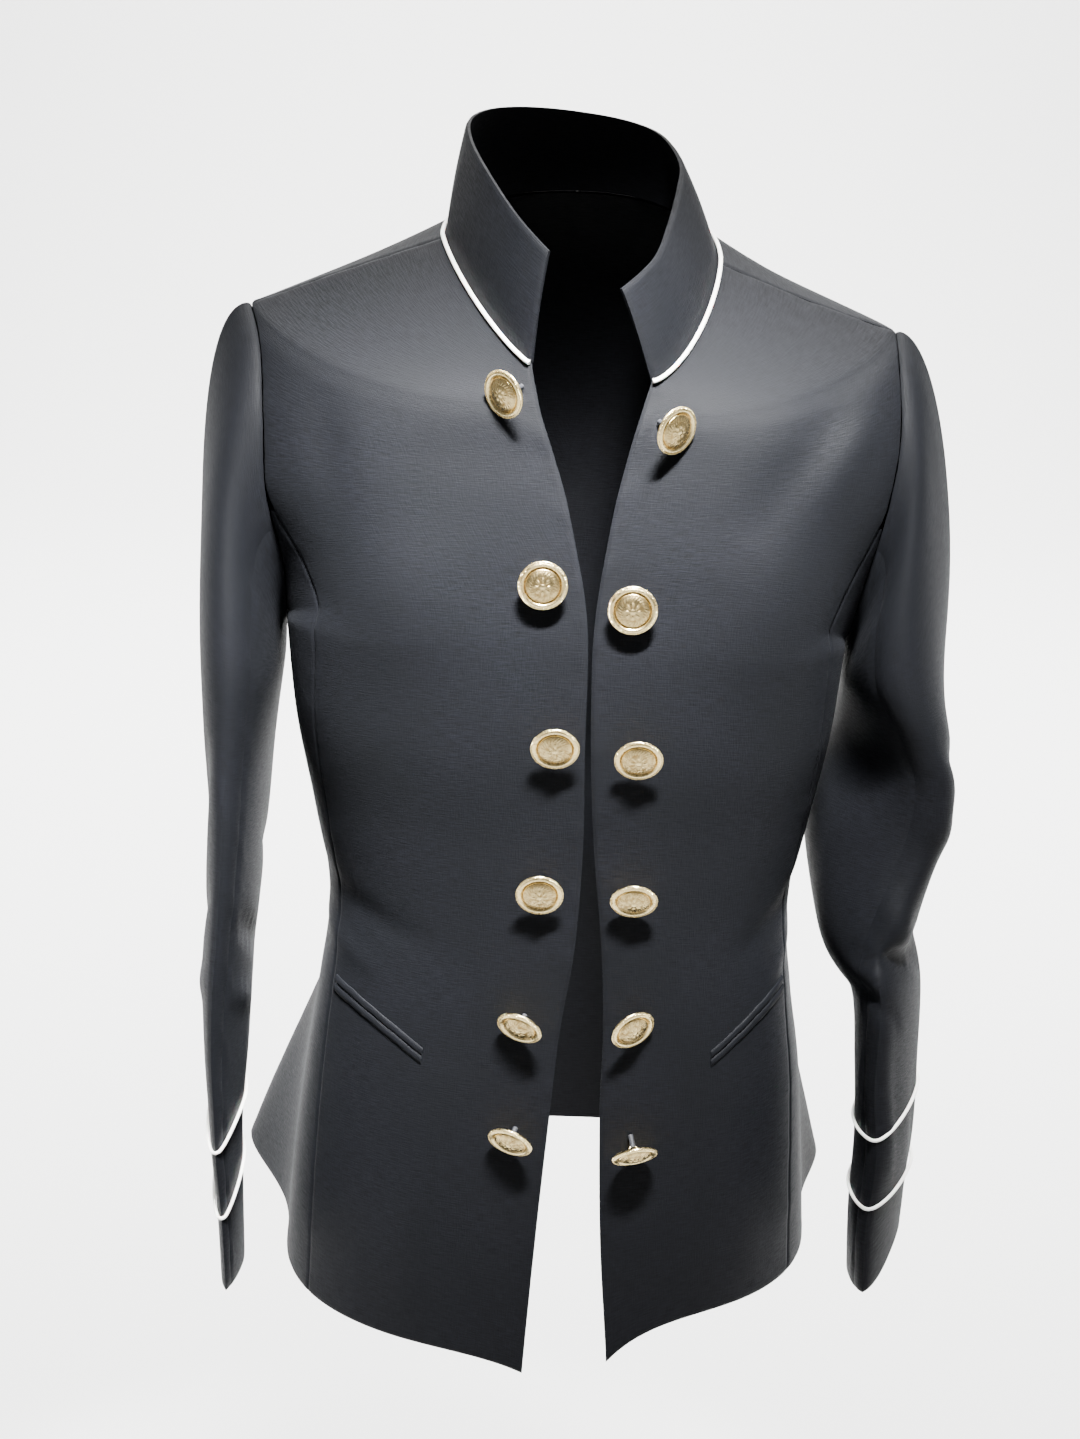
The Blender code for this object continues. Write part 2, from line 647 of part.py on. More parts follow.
for side, word in SIDES.items():
    for number, (x, height, droop, turn) in enumerate(BUTTON_ROWS[side], start=1):
        level, share = sewn_at(side, x * MM, height * MM)
        out = facing(side, "front", level, share)
        flat = np.array((sin(radians(turn)), -cos(radians(turn)), 0.0))
        axis = flat * cos(radians(droop)) + np.array((0, 0, -1.0)) * sin(radians(droop))
        straight = axis.dot(out)
        tilt = np.sqrt(max(0.0, 1 - straight ** 2))
        lift = 1.6 * SEAM_GAP + STEM_RADIUS * tilt
        leaning = (BUTTON_RADIUS * tilt + 1.5 * SEAM_GAP - lift) / straight - BUTTON_BACK
        base = place(side, "front", level, share) + out * lift
        button(f"button_{word}_{number}", base, axis, max(SHORTEST_STEM, leaning))
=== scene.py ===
"""The looks of a military-style blazer, worn open: cloth, piping, welts and shank buttons.

Metres, +Z up. The wearer faces -Y. Right and left are the wearer's, so right is at -X.
"""

from math import cos, pi, radians, sin

import bpy
import numpy as np
from mathutils import Matrix, Vector


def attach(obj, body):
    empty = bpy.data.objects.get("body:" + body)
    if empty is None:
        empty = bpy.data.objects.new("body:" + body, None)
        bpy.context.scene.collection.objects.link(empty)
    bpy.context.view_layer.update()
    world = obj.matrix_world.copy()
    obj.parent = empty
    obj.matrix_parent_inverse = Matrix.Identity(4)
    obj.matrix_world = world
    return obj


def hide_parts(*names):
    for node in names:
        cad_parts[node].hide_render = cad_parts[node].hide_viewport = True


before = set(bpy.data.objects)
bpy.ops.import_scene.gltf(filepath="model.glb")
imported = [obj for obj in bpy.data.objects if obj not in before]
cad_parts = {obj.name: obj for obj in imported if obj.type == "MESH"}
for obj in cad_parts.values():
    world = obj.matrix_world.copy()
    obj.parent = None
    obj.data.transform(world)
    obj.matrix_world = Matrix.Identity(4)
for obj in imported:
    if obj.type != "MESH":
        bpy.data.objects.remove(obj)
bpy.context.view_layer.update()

# Camera
# It stands at chest height in front of the blazer and looks down at it, a little rolled, through
# a lens as long as the picture's own, so that the collar, chest and hem keep their perspective.
IMAGE_HEIGHT = 1439
FOCAL_LENGTH = 2200
SENSOR = 36
CAMERA_PLACE = (-0.013, -1.244, 0.081)
PITCH, ROLL = 16.6, 1.6
bpy.ops.object.select_all(action="DESELECT")
bpy.ops.object.camera_add(location=CAMERA_PLACE)
camera = bpy.context.object
camera.data.sensor_width = SENSOR
camera.data.lens = SENSOR * FOCAL_LENGTH / IMAGE_HEIGHT
camera.matrix_world = (Matrix.Translation(CAMERA_PLACE) @ Matrix.Rotation(radians(90 - PITCH), 4, "X")
                       @ Matrix.Rotation(radians(ROLL), 4, "Z"))
bpy.context.scene.camera = camera


# Floor and studio light
# A pale matt floor at the height on which a wearer would stand, swept up behind as a backdrop and
# lit from above. The room is pale behind the blazer and dim in front of it. A softbox with a grid
# above the camera lights the shoulders and chest, and leaves the skirt nearly black.
def linear(colour):
    """A colour's linear values from its sRGB hex code."""
    parts = [int(colour[start:start + 2], 16) / 255 for start in (1, 3, 5)]
    values = [part / 12.92 if part <= 0.04045 else ((part + 0.055) / 1.055) ** 2.4 for part in parts]
    return (*values, 1)


def add(tree, kind, inputs=None, **settings):
    """A new node with its settings, and its inputs as values or links."""
    made = tree.nodes.new(kind)
    for name, value in settings.items():
        setattr(made, name, value)
    for name, value in (inputs or {}).items():
        if isinstance(value, bpy.types.NodeSocket):
            tree.links.new(value, made.inputs[name])
        else:
            made.inputs[name].default_value = value
    return made


def new_material(name, colour, roughness, **sockets):
    """A material, its node tree and its shader, whose even values stand on the shader."""
    made = bpy.data.materials.new(name)
    made.use_nodes = True
    shader = made.node_tree.nodes["Principled BSDF"]
    shader.inputs["Base Color"].default_value = linear(colour)
    shader.inputs["Roughness"].default_value = roughness
    for socket, value in sockets.items():
        shader.inputs[socket.replace("_", " ")].default_value = value
    return made, made.node_tree, shader


FLOOR_HEIGHT = -1.42
FLOOR_SIZE, SWEEP_RADIUS, SWEEP_STEPS = 12, 3.0, 24
bpy.ops.mesh.primitive_plane_add(size=FLOOR_SIZE, location=(0, 0, FLOOR_HEIGHT))
floor = bpy.context.object
floor.name = "studio_floor"
bpy.ops.object.transform_apply(location=True)
bpy.ops.object.mode_set(mode="EDIT")
bpy.ops.mesh.select_mode(type="EDGE")
bpy.ops.mesh.select_all(action="DESELECT")
bpy.ops.object.mode_set(mode="OBJECT")
for edge in floor.data.edges:
    edge.select = all(floor.data.vertices[end].co.y > 0 for end in edge.vertices)
bpy.ops.object.mode_set(mode="EDIT")
stride = radians(90) / SWEEP_STEPS * SWEEP_RADIUS
for step in range(SWEEP_STEPS):
    turn = radians(90) * (step + 0.5) / SWEEP_STEPS
    onward = (0, stride * cos(turn), stride * sin(turn))
    bpy.ops.mesh.extrude_edges_move(TRANSFORM_OT_translate={"value": onward})
bpy.ops.object.mode_set(mode="OBJECT")
bpy.ops.object.shade_smooth()
floor.data.materials.append(new_material("pale matt studio paint", "#f7f7f6", 0.9)[0])

# Strength of the room's light in front of the blazer and behind it
ROOM_FRONT, ROOM_BACK = 0.17, 1.8
room = bpy.data.worlds.new("pale room")
room.use_nodes = True
tree = room.node_tree
direction = add(tree, "ShaderNodeTexCoord")
axes = add(tree, "ShaderNodeSeparateXYZ", {"Vector": direction.outputs["Generated"]})
strength = add(tree, "ShaderNodeMapRange", {"Value": axes.outputs["Y"], "From Min": -0.02, "From Max": 0.9,
                                            "To Min": ROOM_FRONT, "To Max": ROOM_BACK},
               interpolation_type="SMOOTHSTEP")
tree.nodes["Background"].inputs["Color"].default_value = linear("#ffffff")
tree.links.new(strength.outputs["Result"], tree.nodes["Background"].inputs["Strength"])
bpy.context.scene.world = room

# Places, aims and sizes in metres, spreads in degrees, powers in watts
SOFTBOXES = {
    "key": dict(place=(0.06, -0.62, 0.88), aim=(-0.04, -0.11, -0.17), size=(0.44, 0.08),
                spread=21, power=11.5),
    "left_side": dict(place=(1.5, -0.9, 0.5), aim=(0.0, 0.0, -0.3), size=(0.8, 0.8),
                      spread=180, power=0.6),
    "backdrop": dict(place=(0, 3.6, 4.2), aim=(0.0, 5.2, -1.4), size=(6.0, 6.0),
                     spread=150, power=1900),
}
for name, box in SOFTBOXES.items():
    bpy.ops.object.light_add(type="AREA", location=box["place"])
    lamp = bpy.context.object
    lamp.name = name
    lamp.data.shape = "RECTANGLE"
    lamp.data.size, lamp.data.size_y = box["size"]
    lamp.data.spread = radians(box["spread"])
    lamp.data.energy = box["power"]
    lamp.rotation_euler = (Vector(box["aim"]) - Vector(box["place"])).to_track_quat("-Z", "Y").to_euler()


# Body panels
# Four panels a side, of a navy worsted suiting with slubs in its weft, cut on the straight grain
# and joined by princess, side, back and shoulder seams that are pressed open. Each outer point
# comes from the blazer's own levels, from hem to neck, and sinks into the seam at its edges.
MM = 0.001
RIGHT, LEFT = -1, 1
SIDES = {RIGHT: "right", LEFT: "left"}
BODY_WALL = 1.8 * MM
SEAM_GAP = 0.3 * MM
# How far the collar, sleeves and cuff piping stand off a seam, and the neck piping and buttons
# off the cloth
SEAM_LIFT, SEWN_LIFT = 0.3 * SEAM_GAP, 1.6 * SEAM_GAP
HIGH_HIP, UNDERARM, ARMPIT, UPPER_CHEST, SHOULDER_TIP, NECK = 2, 7, 8, 10, 13, 15

# Front edge, a row for each level, in mm: x right, x left, y, z right, z left
FRONT_EDGE = np.array([
    (-13.0, 36.5, -105, -650, -624),
    (-7.5, 30.5, -103, -575, -570),
    (-1.5, 27.5, -101, -500, -498),
    (3.0, 27.7, -100, -446, -446),
    (10.0, 25.0, -101, -393, -393),
    (12.7, 18.9, -104, -333, -335),
    (11.8, 15.2, -109, -275, -280),
    (11.7, 13.9, -110, -215, -220),
    (9.8, 15.0, -108, -193, -198),
    (5.4, 18.2, -106, -172, -174),
    (-2.0, 23.3, -101, -140, -143),
    (-9.3, 28.8, -96, -117, -119),
    (-14.7, 32.5, -93, -102, -105),
    (-17.8, 35.2, -90, -92, -96),
    (-20.4, 38.0, -86, -81, -87),
    (-23.0, 41.0, -82, -70, -78),
])
# Side seam, then front of the armhole, then shoulder seam, in the same columns
FRONT_SIDE = np.array([
    (-164, 161, 0, -637, -619),
    (-159, 157, 0, -572, -563),
    (-150, 151, 0, -500, -498),
    (-142, 143, 0, -448, -448),
    (-136, 138, 0, -395, -395),
    (-145, 147, 0, -338, -340),
    (-155, 156, 0, -283, -288),
    (-160, 161, 0, -228, -234),
    (-159, 162, -23, -220, -226),
    (-159, 166, -41, -190, -196),
    (-167, 175, -53, -148, -148),
    (-169, 180, -47, -107, -110),
    (-173, 180, -26, -71, -76),
    (-181, 180, -2, -51, -57),
    (-128, 130, -3, -31, -41),
    (-73, 79, 0, -12, -22),
])
# The same with the back of the armhole
BACK_SIDE = FRONT_SIDE.copy()
BACK_SIDE[ARMPIT:SHOULDER_TIP] = (
    (-160, 161, 22, -220, -225),
    (-161, 163, 39, -190, -195),
    (-166, 169, 52, -148, -150),
    (-170, 174, 48, -105, -110),
    (-176, 179, 27, -70, -76),
)
# Centre back, in mm: y, z
CENTRE_BACK = np.array([
    (130, -612), (122, -560), (112, -496), (100, -446), (86, -392), (85, -335), (91, -275), (98, -215),
    (100, -192), (103, -165), (105, -125), (103, -87), (98, -56), (91, -33), (78, -10), (60, 11),
])
# Fullness of each half's curve, its end angle and its long seams: front right, front left, back,
# end angle, front seam, back seam
ROUNDING = np.array([
    (2.1, 2.1, 2.9, 90, 0.72, 0.50),
    (2.2, 2.2, 2.8, 90, 0.73, 0.50),
    (2.3, 2.3, 2.6, 90, 0.75, 0.50),
    (2.4, 2.4, 2.4, 90, 0.76, 0.49),
    (2.4, 2.4, 2.4, 90, 0.77, 0.48),
    (2.5, 2.5, 2.5, 90, 0.75, 0.50),
    (2.7, 2.7, 2.6, 90, 0.71, 0.53),
    (2.8, 2.8, 2.7, 90, 0.67, 0.57),
    (2.7, 2.7, 2.7, 82, 0.73, 0.63),
    (2.6, 2.6, 2.6, 74, 0.85, 0.77),
    (2.4, 2.4, 2.5, 68, 1.00, 1.00),
    (2.3, 2.3, 2.4, 64, 1.00, 1.00),
    (2.2, 2.2, 2.3, 62, 1.00, 1.00),
    (2.1, 2.1, 2.2, 62, 1.00, 1.00),
    (1.7, 1.9, 2.2, 68, 1.00, 1.00),
    (1.22, 1.5, 2.2, 90, 1.00, 1.00),
])
FRONT_SEAM, BACK_SEAM = 4, 5
CENTRE_EDGE, SIDE_EDGE = "centre edge", "side edge"
# How far each front's hem dips towards its corner, and how sharply
HEM_DIP = {RIGHT: 13.5 * MM, LEFT: 30.5 * MM}
HEM_DIP_WIDTH = 7.5
# The flare of the back below the waist: how far each half swings out at the hem, its place and
# width as shares of the way to the side, its height, and the way in which it swings
FLARE = {RIGHT: 68 * MM, LEFT: 46 * MM}
FLARE_PLACE, FLARE_WIDTH = 0.62, 0.20
FLARE_TOP, FLARE_LENGTH = -0.415, 0.2
FLARE_OUT = np.array((0.88, 0.47, 0.0))
RING_POINTS = 160


def unit(vector):
    """The vector, or each vector of an array, at length 1."""
    vector = np.asarray(vector, dtype=float)
    return vector / np.maximum(np.linalg.norm(vector, axis=-1, keepdims=True), 1e-12)


def between_rows(table, level):
    """A table's row at any level, on a smooth curve through its rows."""
    last = len(table) - 1
    level = min(max(level, 0.0), float(last))
    low = min(int(level), last - 1)
    t = level - low
    before, start, end, after = (table[min(max(low + step, 0), last)] for step in (-1, 0, 1, 2))
    return 0.5 * (2 * start + (end - before) * t + (2 * before - 5 * start + 4 * end - after) * t ** 2
                  + (3 * (start - end) + after - before) * t ** 3)


def side_line(table, level):
    """The outer end of a half's ring: side seam, then armhole edge, then shoulder seam."""
    if level <= UNDERARM:
        return between_rows(table[:UNDERARM + 1], level)
    if level <= SHOULDER_TIP:
        return between_rows(table[UNDERARM:SHOULDER_TIP + 1], level - UNDERARM)
    return between_rows(table[SHOULDER_TIP:], level - SHOULDER_TIP)


def run_along(points):
    """How far along a line, or along the first axis of a grid, each point lies."""
    steps = np.linalg.norm(np.diff(points, axis=0), axis=-1)
    return np.concatenate((np.zeros_like(steps[:1]), np.cumsum(steps, axis=0)))


def along(points, shares):
    """Points at given shares of a line's length."""
    reach = run_along(points)
    wanted = np.asarray(shares) * reach[-1]
    return np.stack([np.interp(wanted, reach, points[:, axis]) for axis in range(3)], axis=-1)


# The lines that are already worked out
rings = {}


def ring(side, part, level):
    """The line round one half of the front or back at a level, from its centre to its side."""
    key = (side, part, round(level, 4))
    if key in rings:
        return rings[key]
    column = 0 if side == RIGHT else 1
    if part == "front":
        start = between_rows(FRONT_EDGE, level)[[column, 2, 3 + column]]
        end = side_line(FRONT_SIDE, level)[[column, 2, 3 + column]]
    else:
        start = np.array((0.0, *between_rows(CENTRE_BACK, level)))
        end = side_line(BACK_SIDE, level)[[column, 2, 3 + column]]
    rounding = between_rows(ROUNDING, level)
    power = 2 / rounding[column if part == "front" else 2]
    turn = np.linspace(0, radians(min(rounding[3], 90.0)), RING_POINTS)
    out = np.sin(turn) ** power
    out = out / out[-1]
    back = np.clip(np.cos(turn), 0, 1) ** power
    back = (back - back[-1]) / (1 - back[-1])
    points = np.stack([start[0] + (end[0] - start[0]) * out,
                       end[1] + (start[1] - end[1]) * back,
                       end[2] + (start[2] - end[2]) * back], axis=1) * MM
    share = np.linspace(0, 1, RING_POINTS)
    points = along(points, share)
    if part == "front":
        fade = max(0.0, 1 - level / HIGH_HIP) ** 2
        points[:, 2] -= HEM_DIP[side] * fade * (1 - share) ** HEM_DIP_WIDTH
    else:
        drop = max(0.0, (FLARE_TOP - points[:, 2].mean()) / FLARE_LENGTH)
        swing = np.exp(-((share - FLARE_PLACE) / FLARE_WIDTH) ** 2) * (1 - share ** 6)
        points += np.outer(swing * FLARE[side] * drop, FLARE_OUT * (side, 1, 1))
    rings[key] = points
    return points


def place(side, part, level, share):
    """A point of the cloth's outer surface."""
    return along(ring(side, part, level), [min(max(share, 0.0), 1.0)])[0]


def grid_facing(outer, inside, closed=False):
    """The outward direction at each point of a grid, away from a line of points inside it."""
    if closed:
        across = np.roll(outer, -1, axis=1) - np.roll(outer, 1, axis=1)
    else:
        across = np.gradient(outer, axis=1)
    normal = unit(np.cross(across, np.gradient(outer, axis=0)))
    away = np.sum(normal * (outer - inside[:, None, :]), axis=-1, keepdims=True)
    return normal * np.sign(away.mean())


def edge_distance(outer, axis):
    """How far each point of a grid lies from the grid's nearer end along one axis."""
    reach = run_along(outer.swapaxes(0, axis))
    return np.minimum(reach, reach[-1] - reach).swapaxes(0, axis)


SEAM_SINK, SEAM_ROLL, DEEPEST_SINK = 0.75 * MM, 1.1 * MM, 1.2
# Puckers: height, and place and reach from the seam; then two waves and the slow beat of the
# first, in mm a radian
PUCKER, PUCKER_PLACE, PUCKER_REACH = 0.35 * MM, 2.5 * MM, 7.0 * MM
PUCKER_WAVES = (4.1, 13.7, 6.7)


def rolled(outer, outward, pucker=1.0, first=1.0, last=1.0):
    """A sheet whose edges roll into their seams, with the small puckers of a pressed seam. first and
    last say how far its first and last rows roll."""
    from_side = edge_distance(outer, 1)
    from_end = edge_distance(outer, 0)
    ends = np.linspace(first, last, len(outer)).round()[:, None]
    sink = np.exp(-(from_side / SEAM_ROLL) ** 2) + ends * np.exp(-(from_end / SEAM_ROLL) ** 2)
    run = np.cumsum(np.linalg.norm(np.gradient(outer, axis=0), axis=-1), axis=0) / MM
    first_wave, beat, second_wave = (run / wave for wave in PUCKER_WAVES)
    ripple = np.sin(first_wave) * np.sin(beat + 1.3) + 0.6 * np.sin(second_wave + 0.4)
    ripple = ripple * np.exp(-((from_side - PUCKER_PLACE) / PUCKER_REACH) ** 2) * PUCKER * pucker
    return outer + outward * (ripple - SEAM_SINK * np.minimum(sink, DEEPEST_SINK))[..., None]


def creased(outer, outward, lines):
    """A sheet with soft folds along lines of points, each with a width and a height."""
    lift = np.zeros(outer.shape[:2])
    for points, width, height in lines:
        gap = np.linalg.norm(outer[:, :, None, :] - points[None, None], axis=-1)
        nearest = gap.argmin(axis=-1)
        fade = np.sin(pi * np.clip((nearest + 0.5) / len(points), 0, 1)) ** 0.8
        lift += height * fade * np.exp(-(gap.min(axis=-1) / width) ** 2)
    return outer + outward * lift[..., None]


def grid_mesh(name, points, across, up):
    """A mesh through a grid of points, with lengths across and up in its UV map, and each vertex's
    row and column."""
    rows, columns = points.shape[:2]
    bpy.ops.object.select_all(action="DESELECT")
    bpy.ops.mesh.primitive_grid_add(x_subdivisions=columns - 1, y_subdivisions=rows - 1, size=1)
    piece = bpy.context.object
    piece.name = piece.data.name = name
    mesh = piece.data
    flat = np.empty(len(mesh.vertices) * 3)
    mesh.vertices.foreach_get("co", flat)
    flat = flat.reshape(-1, 3) + 0.5
    column = np.rint(flat[:, 0] * (columns - 1)).astype(int)
    row = np.rint(flat[:, 1] * (rows - 1)).astype(int)
    mesh.vertices.foreach_set("co", points[row, column].reshape(-1))
    mesh.update()
    corner = np.empty(len(mesh.loops), dtype=int)
    mesh.loops.foreach_get("vertex_index", corner)
    grain = np.stack((across[row, column], up[row]), axis=-1)[corner]
    layer = mesh.uv_layers[0]
    layer.name = "grain"
    layer.data.foreach_set("uv", grain.reshape(-1))
    return piece, row, column


def sheet_mesh(name, outer, inner, outward, finish):
    """A piece of cloth as a thin shell between two grids of points, its grain in its UV map."""
    centre = outer.shape[1] // 2
    across = run_along(outer.swapaxes(0, 1)).T
    across = across - across[:, centre:centre + 1]
    piece, row, column = grid_mesh(name, outer, across, run_along(outer[:, centre]))
    mesh = piece.data
    face = mesh.polygons[len(mesh.polygons) // 2]
    middle = face.vertices[0]
    if face.normal.dot(Vector(outward[row[middle], column[middle]])) < 0:
        mesh.flip_normals()
    thick = piece.modifiers.new("wall", "SOLIDIFY")
    thick.thickness = 1 * MM
    thick.offset = -1
    bpy.ops.object.modifier_apply(modifier="wall")
    mesh.vertices.foreach_set("co", np.concatenate((outer[row, column], inner[row, column])).reshape(-1))
    mesh.update()
    bpy.ops.object.shade_smooth_by_angle(angle=radians(55))
    mesh.materials.append(finish)
    return piece


def cloth_piece(name, nodes, outer, inner, outward):
    """A piece of the suiting that stands for its solids."""
    piece = sheet_mesh(name, outer, inner, outward, suiting)
    wide = run_along(outer.swapaxes(0, 1))[-1].max()
    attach(piece, "root")
    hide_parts(*nodes)
    return piece


# Worsted suiting, woven of dyed yarn and lightly brushed: near black in shade, slate in the light,
# with a faint sheen. Its real yarns lie 0.35 mm apart; they are drawn about 1 mm apart, to show.
SLUB_LENGTH, SLUB_HEIGHT = 8 * MM, 0.75 * MM
WARP_LENGTH, WARP_WIDTH = 6 * MM, 0.8 * MM
suiting, tree, shader = new_material("navy worsted suiting", "#16171b", 0.60, Sheen_Weight=0.012,
                                     Sheen_Roughness=0.5, Sheen_Tint=linear("#a3a7b0"),
                                     Specular_IOR_Level=0.06)
grain = add(tree, "ShaderNodeUVMap", uv_map="grain")
slub_place = add(tree, "ShaderNodeMapping", {
    "Vector": grain.outputs["UV"], "Scale": (1 / SLUB_LENGTH, 1 / SLUB_HEIGHT, 1)})
slub = add(tree, "ShaderNodeTexNoise", {"Vector": slub_place.outputs["Vector"], "Scale": 1.0,
                                        "Detail": 3.0, "Roughness": 0.6}, noise_dimensions="2D")
warp_place = add(tree, "ShaderNodeMapping", {
    "Vector": grain.outputs["UV"], "Scale": (1 / WARP_WIDTH, 1 / WARP_LENGTH, 1)})
warp = add(tree, "ShaderNodeTexNoise", {"Vector": warp_place.outputs["Vector"], "Scale": 1.0,
                                        "Detail": 2.0}, noise_dimensions="2D")
weave = add(tree, "ShaderNodeMix", {"Factor": 0.3, "A": slub.outputs["Fac"],
                                    "B": warp.outputs["Fac"]})
yarn = add(tree, "ShaderNodeMapRange", {"Value": weave.outputs["Result"], "From Min": 0.3,
                                        "From Max": 0.7})
patch = add(tree, "ShaderNodeTexNoise", {"Vector": grain.outputs["UV"], "Scale": 16.0, "Detail": 2.0},
            noise_dimensions="2D")
dye = add(tree, "ShaderNodeMix", {"Factor": yarn.outputs["Result"], "A": linear("#040405"),
                                  "B": linear("#121317")}, data_type="RGBA")
nap = add(tree, "ShaderNodeMix", {"Factor": patch.outputs["Fac"], "A": dye.outputs["Result"],
                                  "B": linear("#090a0c")}, data_type="RGBA")
tree.links.new(nap.outputs["Result"], shader.inputs["Base Color"])
sheen_spread = add(tree, "ShaderNodeMapRange", {"Value": yarn.outputs["Result"], "To Min": 0.68,
                                                "To Max": 0.52})
tree.links.new(sheen_spread.outputs["Result"], shader.inputs["Roughness"])
raised = add(tree, "ShaderNodeBump", {"Height": yarn.outputs["Result"], "Strength": 0.35,
                                      "Distance": 0.25 * MM})
tree.links.new(raised.outputs["Normal"], shader.inputs["Normal"])

LOW_ROWS, HIGH_ROWS = 108, 70
# Rows and columns of points close to a panel's edges, in mm from the edge
END_STEPS = (0.4, 1.0, 1.9, 3.2)
EDGE_STEPS = np.array((0.0, 0.5, 1.2, 2.2, 3.6)) * MM
# How many mm high a level is at the hem and at the neck
HEM_RISE, NECK_RISE = 75.0, 11.0
PANEL_COLUMNS = {"front": (44, 22), "back": (36, 26)}
FRONT_PARTS = ("lower", "middle", "upper")
SEAM_CLEAR = 0.015 * MM
SIDE_PANEL_TOP = 9.8

levels = ([step / HEM_RISE for step in (0.0,) + END_STEPS] + list(np.linspace(0.08, 8, LOW_ROWS))
          + list(np.linspace(8, NECK - 0.32, HIGH_ROWS)[1:])
          + [NECK - step / NECK_RISE for step in END_STEPS[::-1] + (0.0,)])


def seam_share(level, seam):
    """Where a long seam or a panel's own edge runs, as a share of the way from centre to side."""
    if seam == CENTRE_EDGE:
        return 0.0
    if seam == SIDE_EDGE or level >= UPPER_CHEST:
        return 1.0
    return min(between_rows(ROUNDING, level)[seam], 1.0)


def panel_points(side, part, low_seam, high_seam, columns, rows):
    """A panel's outer points between two seams, closer together beside them."""
    grid = []
    for level in rows:
        line = ring(side, part, level)
        length = run_along(line)[-1]
        low, high = seam_share(level, low_seam), seam_share(level, high_seam) - SEAM_CLEAR / length
        low += SEAM_CLEAR / length if low > 0 else 0.0
        near = EDGE_STEPS / length
        near = near * min(1.0, (high - low) / (2.4 * near[-1]))
        shares = np.concatenate((low + near[:-1], np.linspace(low + near[-1], high - near[-1], columns),
                                 (high - near[:-1])[::-1]))
        grid.append(along(line, shares))
    return np.array(grid)


# Soft folds of the body: part, side, from level and share, to level and share, width, height in mm.
# The first two have no length: they are the rounded forms of the bust.
BODY_FOLDS = (
    ("front", RIGHT, 8.3, 0.52, 8.3, 0.52, 40, 6.0),
    ("front", LEFT, 8.3, 0.54, 8.3, 0.54, 40, 6.0),
    ("front", RIGHT, 4.4, 0.95, 3.9, 0.40, 9, -1.5),
    ("front", RIGHT, 3.9, 0.98, 3.5, 0.55, 8, 1.5),
    ("front", RIGHT, 11.8, 0.75, 9.4, 0.72, 13, -1.7),
    ("front", RIGHT, 2.6, 0.30, 0.2, 0.38, 16, 1.6),
    ("front", LEFT, 12.2, 0.70, 9.4, 0.45, 15, -2.6),
    ("front", LEFT, 12.4, 0.90, 10.0, 0.66, 12, 1.8),
    ("front", LEFT, 4.5, 0.96, 3.8, 0.45, 9, -1.6),
    ("front", LEFT, 3.9, 0.97, 3.4, 0.60, 8, 1.4),
    ("front", LEFT, 2.6, 0.42, 0.2, 0.50, 16, 1.6),
    ("back", RIGHT, 4.6, 0.05, 4.1, 0.62, 9, -2.0),
    ("back", RIGHT, 3.9, 0.10, 3.7, 0.70, 10, 1.8),
    ("back", RIGHT, 12.3, 0.85, 9.6, 0.55, 14, -2.2),
    ("back", RIGHT, 8.8, 0.95, 7.4, 0.60, 10, -1.8),
    ("back", LEFT, 4.5, 0.06, 4.2, 0.58, 9, -2.0),
    ("back", LEFT, 4.0, 0.12, 3.6, 0.66, 10, 1.7),
    ("back", LEFT, 12.1, 0.80, 9.5, 0.50, 14, -2.2),
    ("back", LEFT, 8.9, 0.95, 7.6, 0.62, 10, -1.8),
)
FOLD_POINTS = 28
SMOOTHED_LEVEL, SMOOTHED_REACH, SMOOTHING_STEPS = 7.9, 1.0, 90
ARMHOLE_EASE = 18 * MM


def eased(outer, rows):
    """A panel whose form changes softly across the underarm, and keeps its armhole edge."""
    smooth = outer.copy()
    for step in range(SMOOTHING_STEPS):
        smooth[1:-1] = (smooth[:-2] + 2 * smooth[1:-1] + smooth[2:]) / 4
    level_share = np.exp(-((np.array(rows) - SMOOTHED_LEVEL) / SMOOTHED_REACH) ** 2)
    gap = np.linalg.norm(outer - outer[:, -1:], axis=-1)
    keep = np.where(np.array(rows)[:, None] > UNDERARM - 1, 1 - np.exp(-(gap / ARMHOLE_EASE) ** 2), 1.0)
    return outer + (smooth - outer) * (level_share[:, None] * keep)[..., None]


def body_folds(part, side):
    """The folds that lie on one half of the front or back, as lines of points."""
    found = []
    for where, half, level, share, to_level, to_share, width, height in BODY_FOLDS:
        if (where, half) == (part, side):
            count = 1 if (level, share) == (to_level, to_share) else FOLD_POINTS
            steps = zip(np.linspace(level, to_level, count), np.linspace(share, to_share, count))
            found.append((np.array([place(side, part, one, two) for one, two in steps]),
                          width * MM, height * MM))
    return found


